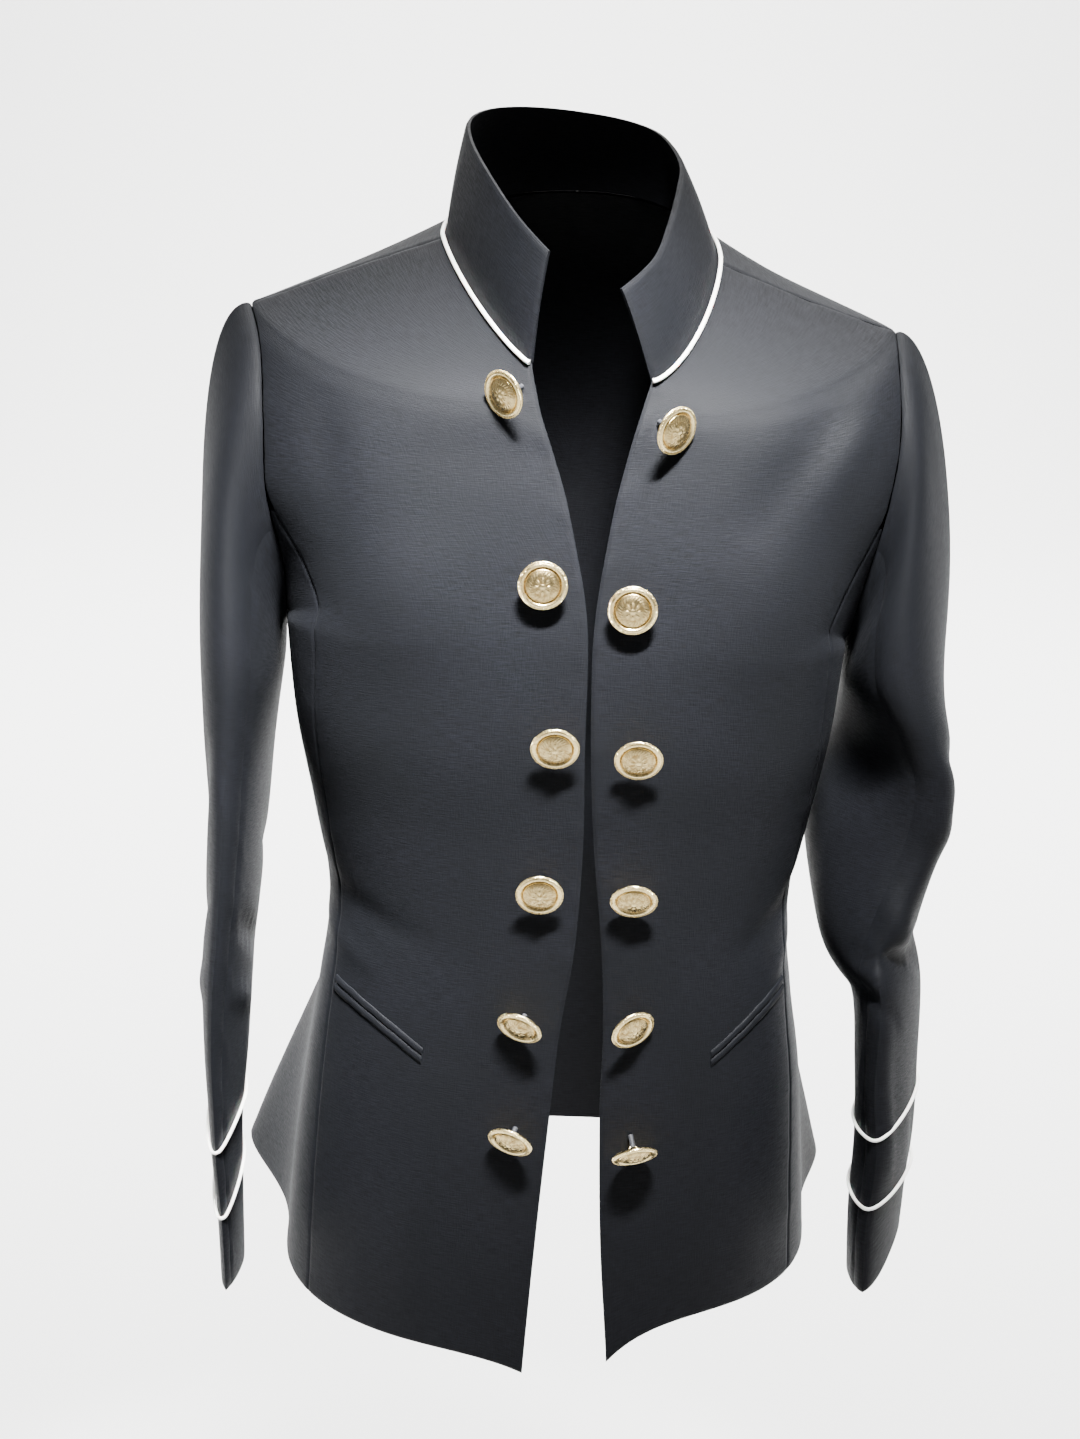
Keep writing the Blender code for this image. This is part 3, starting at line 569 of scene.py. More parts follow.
side_levels = [level for level in levels if level <= SIDE_PANEL_TOP]
for side, word in SIDES.items():
    for part, seam in (("front", FRONT_SEAM), ("back", BACK_SEAM)):
        wide, narrow = PANEL_COLUMNS[part]
        folds = body_folds(part, side)
        whole = [f"front_{word}_{third}" for third in FRONT_PARTS] if part == "front" else [f"back_{word}"]
        for nodes, name, low, high, columns, rows in (
                (whole, f"{part}_panel_{word}", CENTRE_EDGE, seam, wide, levels),
                ([f"side_{part}_{word}"], f"side_{part}_panel_{word}", seam, SIDE_EDGE, narrow,
                 side_levels)):
            outer = panel_points(side, part, low, high, columns, rows)
            if low == CENTRE_EDGE:
                outer = eased(outer, rows)
            inside = np.stack((np.zeros(len(rows)), np.zeros(len(rows)), outer[:, 0, 2]), axis=-1)
            outward = grid_facing(outer, inside)
            # The two halves of the back face straight back where they meet
            if part == "back" and low == CENTRE_EDGE:
                outward[:, 0] = unit(outward[:, 0] * (0, 1, 1))
            outer = creased(outer, outward, folds)
            inner = outer - outward * BODY_WALL
            outer = rolled(outer, outward, pucker=0.5 if part == "front" else 0.7, last=0.0)
            cloth_piece(name, nodes, outer, inner, outward)


# Stand collar
# Two layers of the suiting over a stiff interlining, turned out at the edges and pressed. It
# stands up from the neck seam, closes round the back and ends in a square corner at each front.
# Top edge from the right front corner round the back to the left one, in mm
COLLAR_TOP = np.array([
    (-16, -81, -12), (-34, -64, 5), (-51, -34, 26), (-61, -2, 41), (-62, 22, 51), (-50, 46, 56),
    (-28, 60, 57), (0, 65, 55), (28, 60, 51), (48, 46, 44), (58, 24, 31), (56, 0, 18),
    (50, -30, 0), (44, -53, -13), (36, -68, -21), (24, -82, -30),
]) * MM
COLLAR_WALL = 2.4 * MM
COLLAR_BULGE = 1.5 * MM
COLLAR_COLUMNS, COLLAR_TOP_POINTS = 60, 241
COLLAR_SHARES = np.concatenate(([0.0, 0.012, 0.03, 0.06], np.linspace(0.1, 0.9, 18),
                                [0.94, 0.97, 0.988, 1.0]))
NECK_SMOOTHING_STEPS = 6
FACING_SHARE, FACING_LEVEL = 0.012, 0.08


def body_facing(side, part, level, share):
    """The direction in which the body's outer surface faces."""
    low, high = max(share - FACING_SHARE, 0.0), min(share + FACING_SHARE, 1.0)
    across = place(side, part, level, high) - place(side, part, level, low)
    down, up = max(level - FACING_LEVEL, 0.0), min(level + FACING_LEVEL, float(NECK))
    rise = place(side, part, up, share) - place(side, part, down, share)
    return unit(np.cross(across, rise)) * (side if part == "front" else -side)


neck_stops = []
for side in (RIGHT, LEFT):
    half = ([(side, "front", share) for share in np.linspace(0, 1, COLLAR_COLUMNS)]
            + [(side, "back", share) for share in np.linspace(1, 0, COLLAR_COLUMNS)[1:]])
    neck_stops += half if side == RIGHT else half[-2::-1]
neck_seam = np.array([place(side, part, NECK, share) for side, part, share in neck_stops])
neck_facing = np.array([body_facing(side, part, NECK, share) for side, part, share in neck_stops])
for step in range(NECK_SMOOTHING_STEPS):
    neck_facing[1:-1] = unit(neck_facing[:-2] + 2 * neck_facing[1:-1] + neck_facing[2:])
neck_reach = run_along(neck_seam)
top_stops = np.linspace(0, len(COLLAR_TOP) - 1, COLLAR_TOP_POINTS)
top_line = np.array([between_rows(COLLAR_TOP, stop) for stop in top_stops])
rise = along(top_line, neck_reach / neck_reach[-1]) - neck_seam
lift = unit(rise) * SEAM_LIFT
collar = np.array([neck_seam + lift * (1 - share) + rise * share for share in COLLAR_SHARES])
collar_facing = grid_facing(collar, collar.mean(axis=1))
swell = np.sin(COLLAR_SHARES * pi)[:, None, None] * COLLAR_BULGE
collar = collar + collar_facing * swell
collar_inside = collar - collar_facing * COLLAR_WALL
collar = rolled(collar, collar_facing, pucker=0.3, first=0.0)
cloth_piece("stand_collar", ["collar"], collar, collar_inside, collar_facing)


# Piping
# A thin cord covered with bias-cut white satin, sewn into the neck seam and twice round each
# cuff. The satin's diagonal threads show as a faint twist.
PIPING_RADIUS = 1.25 * MM
PIPING_SIDES = 16
TWIST = 1.4 * MM
GROOVE_DEPTH, GROOVE_WIDTH = 0.10, 0.35
satin, tree, shader = new_material("white satin piping", "#ecebe6", 0.42, Sheen_Weight=0.25,
                                   Sheen_Roughness=0.4, Specular_IOR_Level=0.45,
                                   Subsurface_Weight=0.05, Subsurface_Scale=0.001)
lay = add(tree, "ShaderNodeUVMap", uv_map="grain")
slant = add(tree, "ShaderNodeMapping", {"Vector": lay.outputs["UV"], "Rotation": (0, 0, radians(45)),
                                        "Scale": (1 / TWIST, 1 / TWIST, 1)})
strands = add(tree, "ShaderNodeTexWave", {"Vector": slant.outputs["Vector"], "Scale": 0.5,
                                          "Distortion": 1.2, "Detail": 1.0})
soil = add(tree, "ShaderNodeTexNoise", {"Vector": lay.outputs["UV"], "Scale": 70.0},
           noise_dimensions="2D")
ivory = add(tree, "ShaderNodeMix", {"Factor": soil.outputs["Fac"], "A": linear("#f4f3ef"),
                                    "B": linear("#d9d7cf")}, data_type="RGBA")
tree.links.new(ivory.outputs["Result"], shader.inputs["Base Color"])
threads = add(tree, "ShaderNodeBump", {"Height": strands.outputs["Fac"], "Strength": 0.3,
                                       "Distance": 0.12 * MM})
tree.links.new(threads.outputs["Normal"], shader.inputs["Normal"])


def heading(line, closed):
    """The way in which a line runs at each of its points."""
    if closed:
        return unit(np.roll(line, -1, axis=0) - np.roll(line, 1, axis=0))
    return unit(np.gradient(line, axis=0))


def piping(name, node, line, radius, closed=False):
    """A round cord along a line of points, with a shallow groove where it is stitched down."""
    ahead = heading(line, closed)
    from_middle = line - line.mean(axis=0)
    side_way = unit(from_middle - ahead * np.sum(from_middle * ahead, axis=1, keepdims=True))
    up_way = np.cross(ahead, side_way)
    turn = np.linspace(0, 2 * pi, PIPING_SIDES + 1)
    groove = 1 - GROOVE_DEPTH * np.exp(-((turn - pi) / GROOVE_WIDTH) ** 2)
    outer = np.stack([line + (cos(angle) * side_way + sin(angle) * up_way) * depth * radius
                      for angle, depth in zip(turn, groove)], axis=1)
    if closed:
        outer = np.concatenate((outer, outer[:1]))
    girth = np.tile(turn * radius, (len(outer), 1))
    piece = grid_mesh(name, outer, girth, run_along(outer[:, 0]))[0]
    bpy.ops.object.mode_set(mode="EDIT")
    bpy.ops.mesh.select_all(action="SELECT")
    bpy.ops.mesh.remove_doubles(threshold=0.01 * MM)
    if not closed:
        bpy.ops.mesh.select_all(action="DESELECT")
        bpy.ops.mesh.select_non_manifold(extend=False)
        bpy.ops.mesh.fill_holes(sides=0)
    bpy.ops.mesh.select_all(action="SELECT")
    bpy.ops.mesh.normals_make_consistent(inside=False)
    bpy.ops.object.mode_set(mode="OBJECT")
    bpy.ops.object.shade_smooth_by_angle(angle=radians(50))
    piece.data.materials.append(satin)
    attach(piece, "root")
    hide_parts(node)
    return piece


both = unit(neck_facing + collar_facing[0])
lean = np.clip(np.sum(both * collar_facing[0], axis=1, keepdims=True), 0.4, 1.0)
piping("neck_cord", "neck_piping", neck_seam + both * (PIPING_RADIUS + SEWN_LIFT) / lean, PIPING_RADIUS)


# Sleeves
# Two pieces each, an upper and an under sleeve, eased into the armhole so that the cap rolls a
# little. They hang empty and flattened, and fold softly where the elbow was pressed.
SLEEVE_WALL = 1.6 * MM
# Rings below the underarm, in mm and degrees: x, y and z of the centre, width from the front fold
# to the back fold, thickness, and turn of the front fold towards the body
SLEEVE_RINGS = {
    RIGHT: np.array([
        (-187, -3, -262, 148, 45, 0),
        (-189, -5, -305, 145, 38, 0),
        (-190, -9, -342, 141, 34, 0),
        (-192, -15, -384, 137, 31, 0),
        (-195, -25, -436, 132, 28, 0),
        (-195, -37, -488, 127, 23, 0),
        (-194, -50, -532, 123, 17, 2.5),
        (-191, -60, -571, 120, 14, 4),
        (-188, -72, -615, 117, 12.5, 4.5),
    ]),
    LEFT: np.array([
        (192, -2, -264, 139, 57, -2),
        (192, -4, -306, 136, 54, -20),
        (184.5, -8, -352, 126, 57, -24),
        (185.5, -16, -406, 119, 56, -6),
        (198, -24, -438, 124, 42, 9),
        (200.5, -33, -486, 121, 37, 14),
        (200.5, -44, -530, 116.5, 35, 13),
        (197, -54, -570, 114, 32, 14),
        (195, -66, -611, 112, 28, 13),
    ]),
}
# How far up the table the hem has climbed at the front fold, the outer side, the back fold, the
# inner side and the front fold again, and the row from which it does so
HEM_CLIMB = {RIGHT: (0.0, 0.0, 0.05, 0.0, 0.0), LEFT: (0.0, 0.66, 0.80, 0.10, 0.0)}
HEM_CLIMB_START = 6
# How round a section is: an oval at the underarm, sharper at the folds from the elbow down
FOLD_SHARPNESS, SHARPEST_FROM = (2.0, 1.55), 0.6
SECTION_POINTS = 241
# How the cap leaves the armhole: its reach, flare and droop, and its fullness over the arm
CAP_SPREAD = {RIGHT: 30 * MM, LEFT: 26 * MM}
CAP_FLARE, CAP_CLOSING, UNDERARM_DROOP = 0.30, 0.25, 1.6
UNDERARM_SPREAD, CAP_FULLNESS, CAP_CROWDING = 0.30, 0.45, 1.25
CAP_ROWS, ARM_ROWS = 30, 120
ARMHOLE_STEP = 0.125
ARMHOLE_LEVELS = [UNDERARM + ARMHOLE_STEP * step
                  for step in range(int((SHOULDER_TIP - UNDERARM) / ARMHOLE_STEP) + 1)]
SLEEVE_SEAM_LEVEL = 9.5


def sleeve_section(side, row):
    """A closed section of the arm, starting at the front fold and running over the outer side."""
    table = SLEEVE_RINGS[side]
    x, y, z, width, thick, turn = between_rows(table, row)
    down = unit(between_rows(table, row + 0.25)[:3] - between_rows(table, row - 0.25)[:3])
    fore = np.array((-side * sin(radians(turn)), -cos(radians(turn)), 0.0))
    fore = unit(fore - down * fore.dot(down))
    outer = np.cross(down, fore)
    outer = outer * np.sign(outer[0] * side)
    sharp = np.interp(row / (len(table) - 1), (0.0, SHARPEST_FROM), FOLD_SHARPNESS)
    angle = np.linspace(0, 2 * pi, SECTION_POINTS)
    to_front = np.sign(np.cos(angle)) * np.abs(np.cos(angle)) ** (2 / sharp) * width / 2
    to_side = np.sign(np.sin(angle)) * np.abs(np.sin(angle)) ** (2 / sharp) * thick / 2
    return (np.array((x, y, z)) + np.outer(to_front, fore) + np.outer(to_side, outer)) * MM


def armhole(side):
    """The armhole's points, from the underarm up the front edge, over the top and down the back."""
    front = [place(side, "front", level, 1.0) for level in ARMHOLE_LEVELS]
    back = [place(side, "back", level, 1.0) for level in ARMHOLE_LEVELS]
    return np.array(front + back[-2:0:-1])


def sleeve_columns(side):
    """Each armhole point's place round a section: 0 at the front fold, 0.25 at the top of the cap."""
    points = armhole(side)
    run = run_along(np.concatenate((points, points[:1])))
    half = len(ARMHOLE_LEVELS) - 1
    fold = ARMHOLE_LEVELS.index(UPPER_CHEST)
    marks = [run[0], run[fold], run[half], run[2 * half - fold], run[2 * half]]
    return np.interp(run[:-1], marks, (-0.25, 0.0, 0.25, 0.5, 0.75))


def sleeve_grid(side):
    """Rows of points from the armhole to the cuff, each one closed."""
    holes = armhole(side)
    shares = sleeve_columns(side)
    first, second = (along(sleeve_section(side, row), shares % 1.0) for row in (0.0, 0.5))
    middle = holes.mean(axis=0)
    away = unit((holes - middle) * (0, 1, 1))
    height = np.clip((holes[:, 2:3] - holes[:, 2].min()) / np.ptp(holes[:, 2]), 0, 1)
    out = np.array((side, 0.0, 0.0))
    droop = np.array((0, 0, -UNDERARM_DROOP)) * (1 - height) ** 4
    leave = unit(out + away * (CAP_FLARE - CAP_CLOSING * height) + droop)
    spread = CAP_SPREAD[side] * (UNDERARM_SPREAD + (1 - UNDERARM_SPREAD) * height ** 0.7)
    start = holes + out * SEAM_LIFT
    distance = np.linalg.norm(first - start, axis=1, keepdims=True)
    rise = unit(first - second) * distance * CAP_FULLNESS
    rows = []
    for step in range(CAP_ROWS):
        t = (step / CAP_ROWS) ** CAP_CROWDING
        rows.append(start * (1 - t) ** 3 + (start + leave * spread) * 3 * t * (1 - t) ** 2
                    + (first + rise) * 3 * t ** 2 * (1 - t) + first * t ** 3)
    last = len(SLEEVE_RINGS[side]) - 1
    climbs = np.interp(shares % 1.0, np.linspace(0, 1, 5), HEM_CLIMB[side])
    for row in np.linspace(0, last, ARM_ROWS + 1):
        fade = max(0.0, (row - HEM_CLIMB_START) / (last - HEM_CLIMB_START))
        rows.append(np.array([along(sleeve_section(side, row - climb * fade), [share % 1.0])[0]
                              for share, climb in zip(shares, climbs)]))
    return np.array(rows)


# Folds of the sleeves: side, from row and share, to row and share, width, height in mm. Row 0 is
# the underarm and 8 the cuff; share 0 is the front fold, 0.25 the outer side, 0.5 the back fold.
SLEEVE_FOLDS = (
    (LEFT, 0.4, -0.02, 1.5, 0.30, 10, -3.2),
    (LEFT, 1.3, -0.05, 2.5, 0.34, 11, 2.6),
    (LEFT, 2.4, -0.06, 3.7, 0.16, 8, 3.0),
    (LEFT, 3.1, -0.10, 3.9, 0.25, 6, -2.4),
    (LEFT, 3.6, -0.12, 4.4, 0.08, 5, -2.6),
    (LEFT, 4.3, 0.02, 6.6, 0.06, 7, 1.4),
    (LEFT, 5.0, 0.20, 7.4, 0.28, 9, -1.2),
    (LEFT, 3.2, 0.48, 3.9, 0.70, 8, -2.4),
    (LEFT, 4.1, 0.46, 4.4, 0.72, 7, -2.2),
    (RIGHT, 2.2, -0.20, 3.0, -0.42, 9, -2.2),
    (RIGHT, 3.4, -0.06, 3.9, -0.36, 8, -2.0),
    (RIGHT, 4.2, -0.05, 4.5, -0.30, 7, 1.6),
    (RIGHT, 0.6, 0.05, 2.6, 0.20, 12, -2.2),
    (RIGHT, 3.0, 0.04, 4.0, 0.32, 9, -2.0),
    (RIGHT, 4.0, 0.03, 4.5, 0.36, 8, 1.8),
    (RIGHT, 5.2, 0.14, 7.2, 0.22, 10, -1.2),
)


def sleeve_point(grid, shares, row, share):
    """A point of a sleeve's grid at a row and a share round it."""
    index = CAP_ROWS + row / (len(SLEEVE_RINGS[RIGHT]) - 1) * ARM_ROWS
    line = grid[int(round(index))]
    order = np.argsort(shares % 1.0)
    around = (shares % 1.0)[order]
    return np.array([np.interp(share % 1.0, around, line[order][:, axis], period=1.0) for axis in range(3)])


for side, word in SIDES.items():
    grid = sleeve_grid(side)
    outward = grid_facing(grid, grid.mean(axis=1), closed=True)
    shares = sleeve_columns(side)
    folds = []
    for half, row, share, to_row, to_share, width, height in SLEEVE_FOLDS:
        if half == side:
            steps = zip(np.linspace(row, to_row, FOLD_POINTS), np.linspace(share, to_share, FOLD_POINTS))
            folds.append((np.array([sleeve_point(grid, shares, one, two) for one, two in steps]),
                          width * MM, height * MM))
    grid = creased(grid, outward, folds)
    low = ARMHOLE_LEVELS.index(SLEEVE_SEAM_LEVEL)
    total = grid.shape[1]
    upper = list(range(low, total - low + 1))
    under = [column % total for column in range(total - low, total + low + 1)]
    for name, columns in (("upper", upper), ("under", under)):
        outer, away = grid[:, columns], outward[:, columns]
        cloth_piece(f"{name}_sleeve_cloth_{word}", [f"{name}_sleeve_{word}"], rolled(outer, away),
                    outer - away * SLEEVE_WALL, away)


# Cuff piping
# Each cuff carries two rounds of the white piping, about 38 mm apart. Each round is lowest at the
# front fold and climbs to the back fold on both sides.
CUFF_PIPING_RADIUS = 1.0 * MM
CUFF_PIPING_POINTS = 144
CUFF_PIPING_SMOOTHING_STEPS = 2
# Each round's row at the front fold, and how far up the rows it climbs at the front fold, the outer
# side, the back fold, the inner side and the front fold again
CUFF_PIPING_ROWS = {RIGHT: (6.13, 7.07), LEFT: (5.83, 6.82)}
CUFF_PIPING_CLIMB = {RIGHT: (0.0, 0.36, 0.60, 0.42, 0.0), LEFT: (0.0, 0.50, 0.66, 0.12, 0.0)}


def cuff_line(side, row):
    """A closed line round the cuff, lowest at the front fold."""
    loop = []
    for step in range(CUFF_PIPING_POINTS):
        share = step / CUFF_PIPING_POINTS
        climb = np.interp(share, np.linspace(0, 1, 5), CUFF_PIPING_CLIMB[side])
        loop.append(along(sleeve_section(side, row - climb), [share])[0])
    return np.array(loop)


for side, word in SIDES.items():
    for number, row in enumerate(CUFF_PIPING_ROWS[side], start=1):
        loop = cuff_line(side, row)
        for step in range(CUFF_PIPING_SMOOTHING_STEPS):
            loop = (np.roll(loop, 1, axis=0) + 2 * loop + np.roll(loop, -1, axis=0)) / 4
        ahead = heading(loop, closed=True)
        from_middle = loop - loop.mean(axis=0)
        plane = unit(np.cross(from_middle, ahead).mean(axis=0))
        away = unit(np.cross(ahead, plane))
        away = away * np.sign(np.sum(away * from_middle, axis=1).mean())
        line = loop + away * (CUFF_PIPING_RADIUS + SEAM_LIFT)
        piping(f"cuff_cord_{word}_{number}", f"cuff_piping_{word}_{number}", line, CUFF_PIPING_RADIUS,
               closed=True)


# Pocket welts
# A slanted pocket on each front, its mouth edged by two narrow folded strips of the suiting that
# meet at a dark line. They are cut on the bias of the front and pressed flat.
WELT_WIDTH, WELT_GAP, WELT_WALL = 4.8 * MM, 0.5 * MM, 0.9 * MM
# Height of a welt's middle over the front, and its edges' share of that height
WELT_RISE, WELT_EDGE = 1.1 * MM, 0.35
# Heights of the pocket's upper edge in mm at even steps from its outer end, and its ends' shares
POCKET_HEIGHTS = {RIGHT: (-434, -437, -443, -451, -461), LEFT: (-429, -432, -438, -447, -458)}
POCKET_SHARES = {RIGHT: (0.735, 0.385), LEFT: (0.735, 0.36)}
WELT_COLUMNS, WELT_STEPS = 56, (0.0, 0.06, 0.16, 0.32, 0.5, 0.68, 0.84, 0.94, 1.0)


def level_at(side, share, height):
    """The level at which the front panel reaches a height."""
    low, high = 0.0, float(NECK)
    for _ in range(24):
        middle = (low + high) / 2
        if place(side, "front", middle, share)[2] < height:
            low = middle
        else:
            high = middle
    return low


for side, word in SIDES.items():
    spans = np.linspace(0, 1, WELT_COLUMNS)
    shares = np.interp(spans, (0, 1), POCKET_SHARES[side])
    heights = np.interp(spans, np.linspace(0, 1, len(POCKET_HEIGHTS[side])), POCKET_HEIGHTS[side]) * MM
    for name, top in (("upper", 0.0), ("lower", WELT_WIDTH + WELT_GAP)):
        outer, outward = [], []
        for step in WELT_STEPS:
            drop = top + WELT_WIDTH * step
            crown = WELT_EDGE + (1 - WELT_EDGE) * (1 - abs(2 * step - 1) ** 3)
            where = [(level_at(side, share, height - drop), share)
                     for share, height in zip(shares, heights)]
            faces = np.array([body_facing(side, "front", level, share) for level, share in where])
            laid = np.array([place(side, "front", level, share) for level, share in where])
            outer.append(laid + faces * WELT_RISE * crown)
            outward.append(faces)
        outer, outward = np.array(outer), np.array(outward)
        cloth_piece(f"welt_{word}_{name}", [f"pocket_welt_{word}_{name}"], outer,
                    outer - outward * WELT_WALL, outward)


# Buttons
# Pale gold plated brass, stamped from two shells: a rope-edged rim, a plain groove and a domed
# middle with a plain rosette and a ring of leaves. A wire loop behind takes the navy thread.
BUTTON_RADIUS = 13.3 * MM
BUTTON_SIDES = 144
BUTTON_BACK = 1.8 * MM
SHORTEST_STEM, STEM_RADIUS = 5.0 * MM, 1.9 * MM
# From the middle of the back, round the rim to the foot of the dome, in mm: radius, height
RIM_PROFILE = ((1.5, -1.8), (6.0, -1.75), (10.8, -1.45), (12.3, -1.05), (13.0, -0.5), (13.3, 0.05),
               (13.25, 0.5), (12.95, 0.72), (12.6, 0.74), (12.25, 0.95), (11.8, 1.3), (11.2, 1.42),
               (10.6, 1.25), (10.2, 0.85), (9.9, 0.35), (9.6, 0.2), (9.3, 0.45), (9.1, 0.9))
DOME_RADIUS, DOME_FOOT, DOME_RISE, DOME_RINGS = 9.0, 1.1, 2.0, 26
ROSETTE = dict(petals=8, start=1.7, end=5.0, height=0.36)
LEAVES = dict(count=26, start=5.7, end=8.0, height=0.26, slant=1.2)
BOSS_RADIUS, BOSS_HEIGHT = 1.5, 0.45
# The groove between rim and dome, in mm, and how dark the painted shade in it and at the foot of the design
# is
GROOVE_FROM, GROOVE_TO, GROOVE_SHADE, DOME_SHADE = 9.2, 10.1, 1.3, 1.2
# Beads of the rope edge: count, radius of their ring, height, size, stretch and slant
ROPE_BEADS, ROPE_RADIUS, ROPE_HEIGHT, BEAD = 96, 12.6, 0.78, 0.34
BEAD_STRETCH, BEAD_SLANT = (0.75, 1.35, 1.0, 1.0), 38
WIRE_LOOP_RADIUS, WIRE_RADIUS, WIRE_LOOP_DEPTH = 2.5 * MM, 0.6 * MM, 3.6 * MM

brass, tree, shader = new_material("pale gold plated brass", "#d9c28c", 0.28, Metallic=1.0)
# Painted shade: the groove and the low parts of the stamped design mix the plate colour towards dark brown,
# broken up by a mottle that also sets the roughness and a faint bump
recess_shade = add(tree, "ShaderNodeAttribute", attribute_name="recess_shade")
spot = add(tree, "ShaderNodeTexCoord")
tarnish_and_shade_mottle = add(tree, "ShaderNodeTexNoise", {"Vector": spot.outputs["Object"], "Scale": 420.0, "Detail": 3.0})
painted_recess_shade = add(tree, "ShaderNodeMath", {0: recess_shade.outputs["Fac"], 1: tarnish_and_shade_mottle.outputs["Fac"]},
           operation="MULTIPLY", use_clamp=True)
plate = add(tree, "ShaderNodeMix", {"Factor": painted_recess_shade.outputs["Value"], "A": linear("#fbe3a6"),
                                    "B": linear("#7a5a26")}, data_type="RGBA")
tree.links.new(plate.outputs["Result"], shader.inputs["Base Color"])
wear = add(tree, "ShaderNodeMapRange", {"Value": tarnish_and_shade_mottle.outputs["Fac"], "From Min": 0.3,
                                        "From Max": 0.7, "To Min": 0.20, "To Max": 0.34})
tree.links.new(wear.outputs["Result"], shader.inputs["Roughness"])
tooling = add(tree, "ShaderNodeBump", {"Height": tarnish_and_shade_mottle.outputs["Fac"], "Strength": 0.15,
                                       "Distance": 0.05 * MM})
tree.links.new(tooling.outputs["Normal"], shader.inputs["Normal"])
thread = new_material("navy sewing thread", "#12141a", 0.7)[0]


def relief(radius, angle):
    """Height of the stamped design over the dome, in mm, for a radius in mm and an angle."""
    boss = BOSS_HEIGHT * max(0.0, 1 - (radius / BOSS_RADIUS) ** 2) ** 0.5
    reach = (radius - ROSETTE["start"]) / (ROSETTE["end"] - ROSETTE["start"])
    petal = 0.0
    if 0 < reach < 1:
        blade = cos(angle * ROSETTE["petals"] / 2) ** 2
        narrowing = 0.45 + 0.35 * abs(2 * reach - 1)
        petal = ROSETTE["height"] * sin(pi * reach) ** 0.6 * max(0.0, blade * 1.5 - narrowing)
        petal -= 0.10 * (blade > 0.96) * sin(pi * reach)
    reach = (radius - LEAVES["start"]) / (LEAVES["end"] - LEAVES["start"])
    leaf = 0.0
    if 0 < reach < 1:
        blade = cos(angle * LEAVES["count"] / 2 + (radius - LEAVES["start"]) * LEAVES["slant"]) ** 2
        leaf = LEAVES["height"] * sin(pi * reach) ** 0.5 * max(0.0, blade - 0.25)
    return boss + max(petal, 0.0) + leaf


bpy.ops.object.select_all(action="DESELECT")
bpy.ops.mesh.primitive_circle_add(vertices=BUTTON_SIDES, radius=RIM_PROFILE[0][0] * MM, fill_type="NGON",
                                  location=(0, 0, 0))
pattern = bpy.context.object
bpy.ops.object.mode_set(mode="EDIT")
bpy.ops.mesh.select_all(action="SELECT")
bpy.ops.transform.translate(value=(0, 0, RIM_PROFILE[0][1] * MM))
bpy.ops.mesh.select_mode(type="EDGE")
dome = [(DOME_RADIUS * (1 - step / DOME_RINGS), DOME_FOOT + DOME_RISE * (1 - (1 - step / DOME_RINGS) ** 2))
        for step in range(DOME_RINGS)]
turned = list(RIM_PROFILE) + dome
bpy.ops.mesh.region_to_loop()
for (radius, height), (next_radius, next_height) in zip(turned, turned[1:]):
    bpy.ops.mesh.extrude_edges_move(TRANSFORM_OT_translate={"value": (0, 0, (next_height - height) * MM)})
    grow = next_radius / radius
    bpy.ops.transform.resize(value=(grow, grow, 1), center_override=(0, 0, next_height * MM))
bpy.ops.mesh.edge_face_add()
bpy.ops.mesh.select_all(action="SELECT")
bpy.ops.mesh.normals_make_consistent(inside=False)
bpy.ops.object.mode_set(mode="OBJECT")
recess_shade_layer = pattern.data.attributes.new("recess_shade", "FLOAT", "POINT")
highest = max(BOSS_HEIGHT, ROSETTE["height"], LEAVES["height"])
# Painted shade: the groove, and each point of the design the more the lower it lies, are marked for the
# darker colour
for vertex in pattern.data.vertices:
    radius = vertex.co.to_2d().length / MM
    if vertex.co.z > 0 and radius < DOME_RADIUS + 0.01:
        height = relief(radius, np.arctan2(vertex.co.y, vertex.co.x))
        vertex.co.z += height * MM
        recess_shade_layer.data[vertex.index].value = DOME_SHADE * (1 - height / highest)
    elif vertex.co.z > 0 and GROOVE_FROM < radius < GROOVE_TO:
        recess_shade_layer.data[vertex.index].value = GROOVE_SHADE
bpy.ops.object.shade_smooth_by_angle(angle=radians(60))

bpy.ops.mesh.primitive_ico_sphere_add(subdivisions=2, radius=BEAD * MM, location=(0, 0, 0))
bead = bpy.context.object
bead.data.transform(Matrix.Diagonal(BEAD_STRETCH))
bead.data.transform(Matrix.Rotation(radians(BEAD_SLANT), 4, "Z"))
bead.data.transform(Matrix.Translation((ROPE_RADIUS * MM, 0, ROPE_HEIGHT * MM)))
bpy.ops.object.shade_smooth()
rope = [bead]
for step in range(1, ROPE_BEADS):
    copy = bead.copy()
    copy.data = bead.data.copy()
    copy.data.transform(Matrix.Rotation(2 * pi * step / ROPE_BEADS, 4, "Z"))
    bpy.context.collection.objects.link(copy)
    rope.append(copy)
bpy.ops.mesh.primitive_torus_add(major_radius=WIRE_LOOP_RADIUS, minor_radius=WIRE_RADIUS,
                                 major_segments=32, minor_segments=12, location=(0, 0, 0))
loop = bpy.context.object
loop.data.transform(Matrix.Translation((0, 0, -WIRE_LOOP_DEPTH)) @ Matrix.Rotation(radians(90), 4, "X"))
bpy.ops.object.shade_smooth()
bpy.ops.object.select_all(action="DESELECT")
for item in rope + [loop, pattern]:
    item.select_set(True)
bpy.context.view_layer.objects.active = pattern
bpy.ops.object.join()
pattern.data.materials.clear()
pattern.data.materials.append(brass)
pattern.data.materials.append(thread)

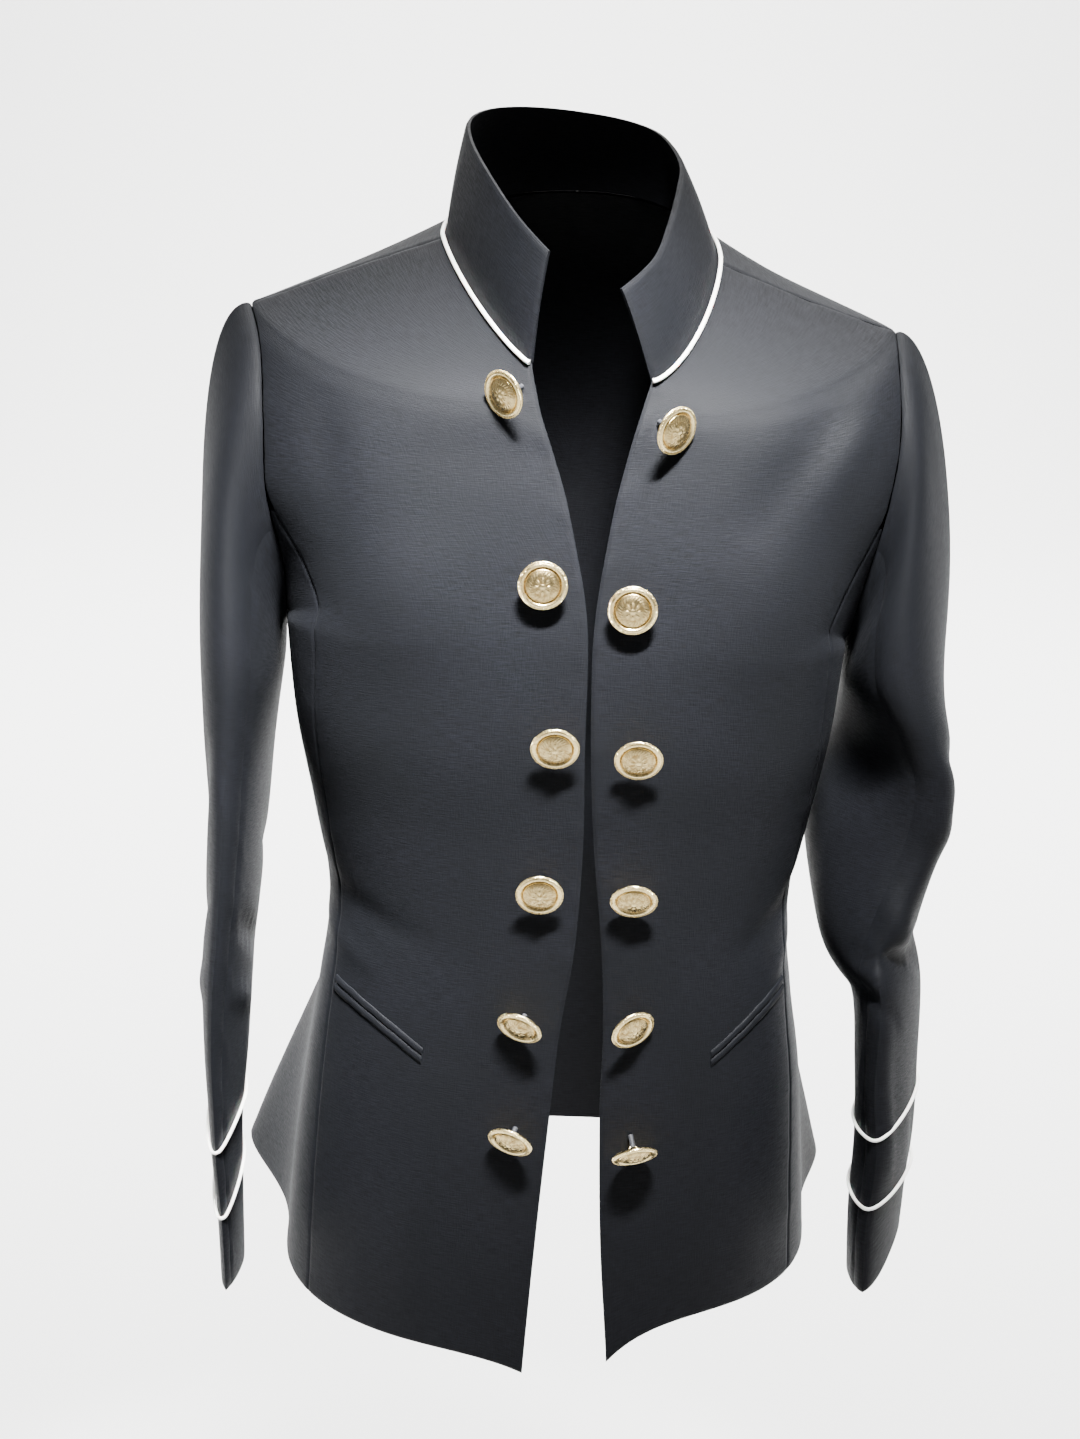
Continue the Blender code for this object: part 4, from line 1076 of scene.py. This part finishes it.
# Rows of buttons from the neck down, in mm and degrees: x and z of the sewn point, droop of its
# face, and turn of its face to the left
BUTTON_ROWS = {
    RIGHT: ((-27.5, -82.5, 12, -42), (-13.5, -182, 2, 0), (-4.5, -269, 20, 0), (-10.5, -356, 18, 0),
            (-17, -434.5, 32, -22), (-20.6, -504.5, 33, -21)),
    LEFT: ((45.5, -98.3, 12, 40), (34.3, -194, 2, 0), (40.6, -274, 23, 0), (41.5, -357, 30, 0),
           (40.9, -436, 21, 28), (45.5, -507, 44, 16)),
}
# The bundle of thread: radius, sides, what it sinks into the cloth, where it ends behind the
# button, and its least length
THREAD_RADIUS, THREAD_SIDES, THREAD_SINK = 1.5 * MM, 20, 0.6 * MM
THREAD_TOP, SHORTEST_THREAD = -5.2 * MM, 0.8 * MM


def sewn_at(side, x, height):
    """The level and share of the front panel at a place seen from the front."""
    low, high = 0.0, 0.6
    for _ in range(20):
        share = (low + high) / 2
        level = level_at(side, share, height)
        edge = place(side, "front", level, 0.0)[0]
        if abs(place(side, "front", level, share)[0] - edge) < abs(x - edge):
            low = share
        else:
            high = share
    return level_at(side, low, height), low


for side, word in SIDES.items():
    for number, (x, height, droop, turn) in enumerate(BUTTON_ROWS[side], start=1):
        level, share = sewn_at(side, x * MM, height * MM)
        out = body_facing(side, "front", level, share)
        flat = np.array((sin(radians(turn)), -cos(radians(turn)), 0.0))
        axis = flat * cos(radians(droop)) + np.array((0, 0, -1.0)) * sin(radians(droop))
        straight = axis.dot(out)
        tilt = np.sqrt(max(0.0, 1 - straight ** 2))
        rise = SEWN_LIFT + STEM_RADIUS * tilt
        stem = max(SHORTEST_STEM, (BUTTON_RADIUS * tilt + 1.5 * SEAM_GAP - rise) / straight - BUTTON_BACK)
        base = place(side, "front", level, share) + out * rise
        piece = pattern.copy()
        piece.data = pattern.data.copy()
        piece.name = piece.data.name = f"shank_button_{word}_{number}"
        bpy.context.collection.objects.link(piece)
        low_end = -(BUTTON_BACK + stem) - THREAD_SINK
        length = max(THREAD_TOP - low_end, SHORTEST_THREAD)
        bpy.ops.object.select_all(action="DESELECT")
        bpy.ops.mesh.primitive_cylinder_add(vertices=THREAD_SIDES, radius=THREAD_RADIUS, depth=length,
                                            location=(0, 0, low_end + length / 2))
        stitches = bpy.context.object
        stitches.data.materials.append(thread)
        bpy.ops.object.transform_apply(location=True)
        bpy.ops.object.shade_smooth_by_angle(angle=radians(50))
        piece.select_set(True)
        bpy.context.view_layer.objects.active = piece
        bpy.ops.object.join()
        rotation = Vector(axis).to_track_quat("Z", "Y").to_matrix().to_4x4()
        centre = Vector(base) + Vector(axis) * (BUTTON_BACK + stem)
        piece.data.transform(Matrix.Translation(centre) @ rotation)
        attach(piece, "root")
        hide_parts(f"button_{word}_{number}")
bpy.data.objects.remove(pattern, do_unlink=True)
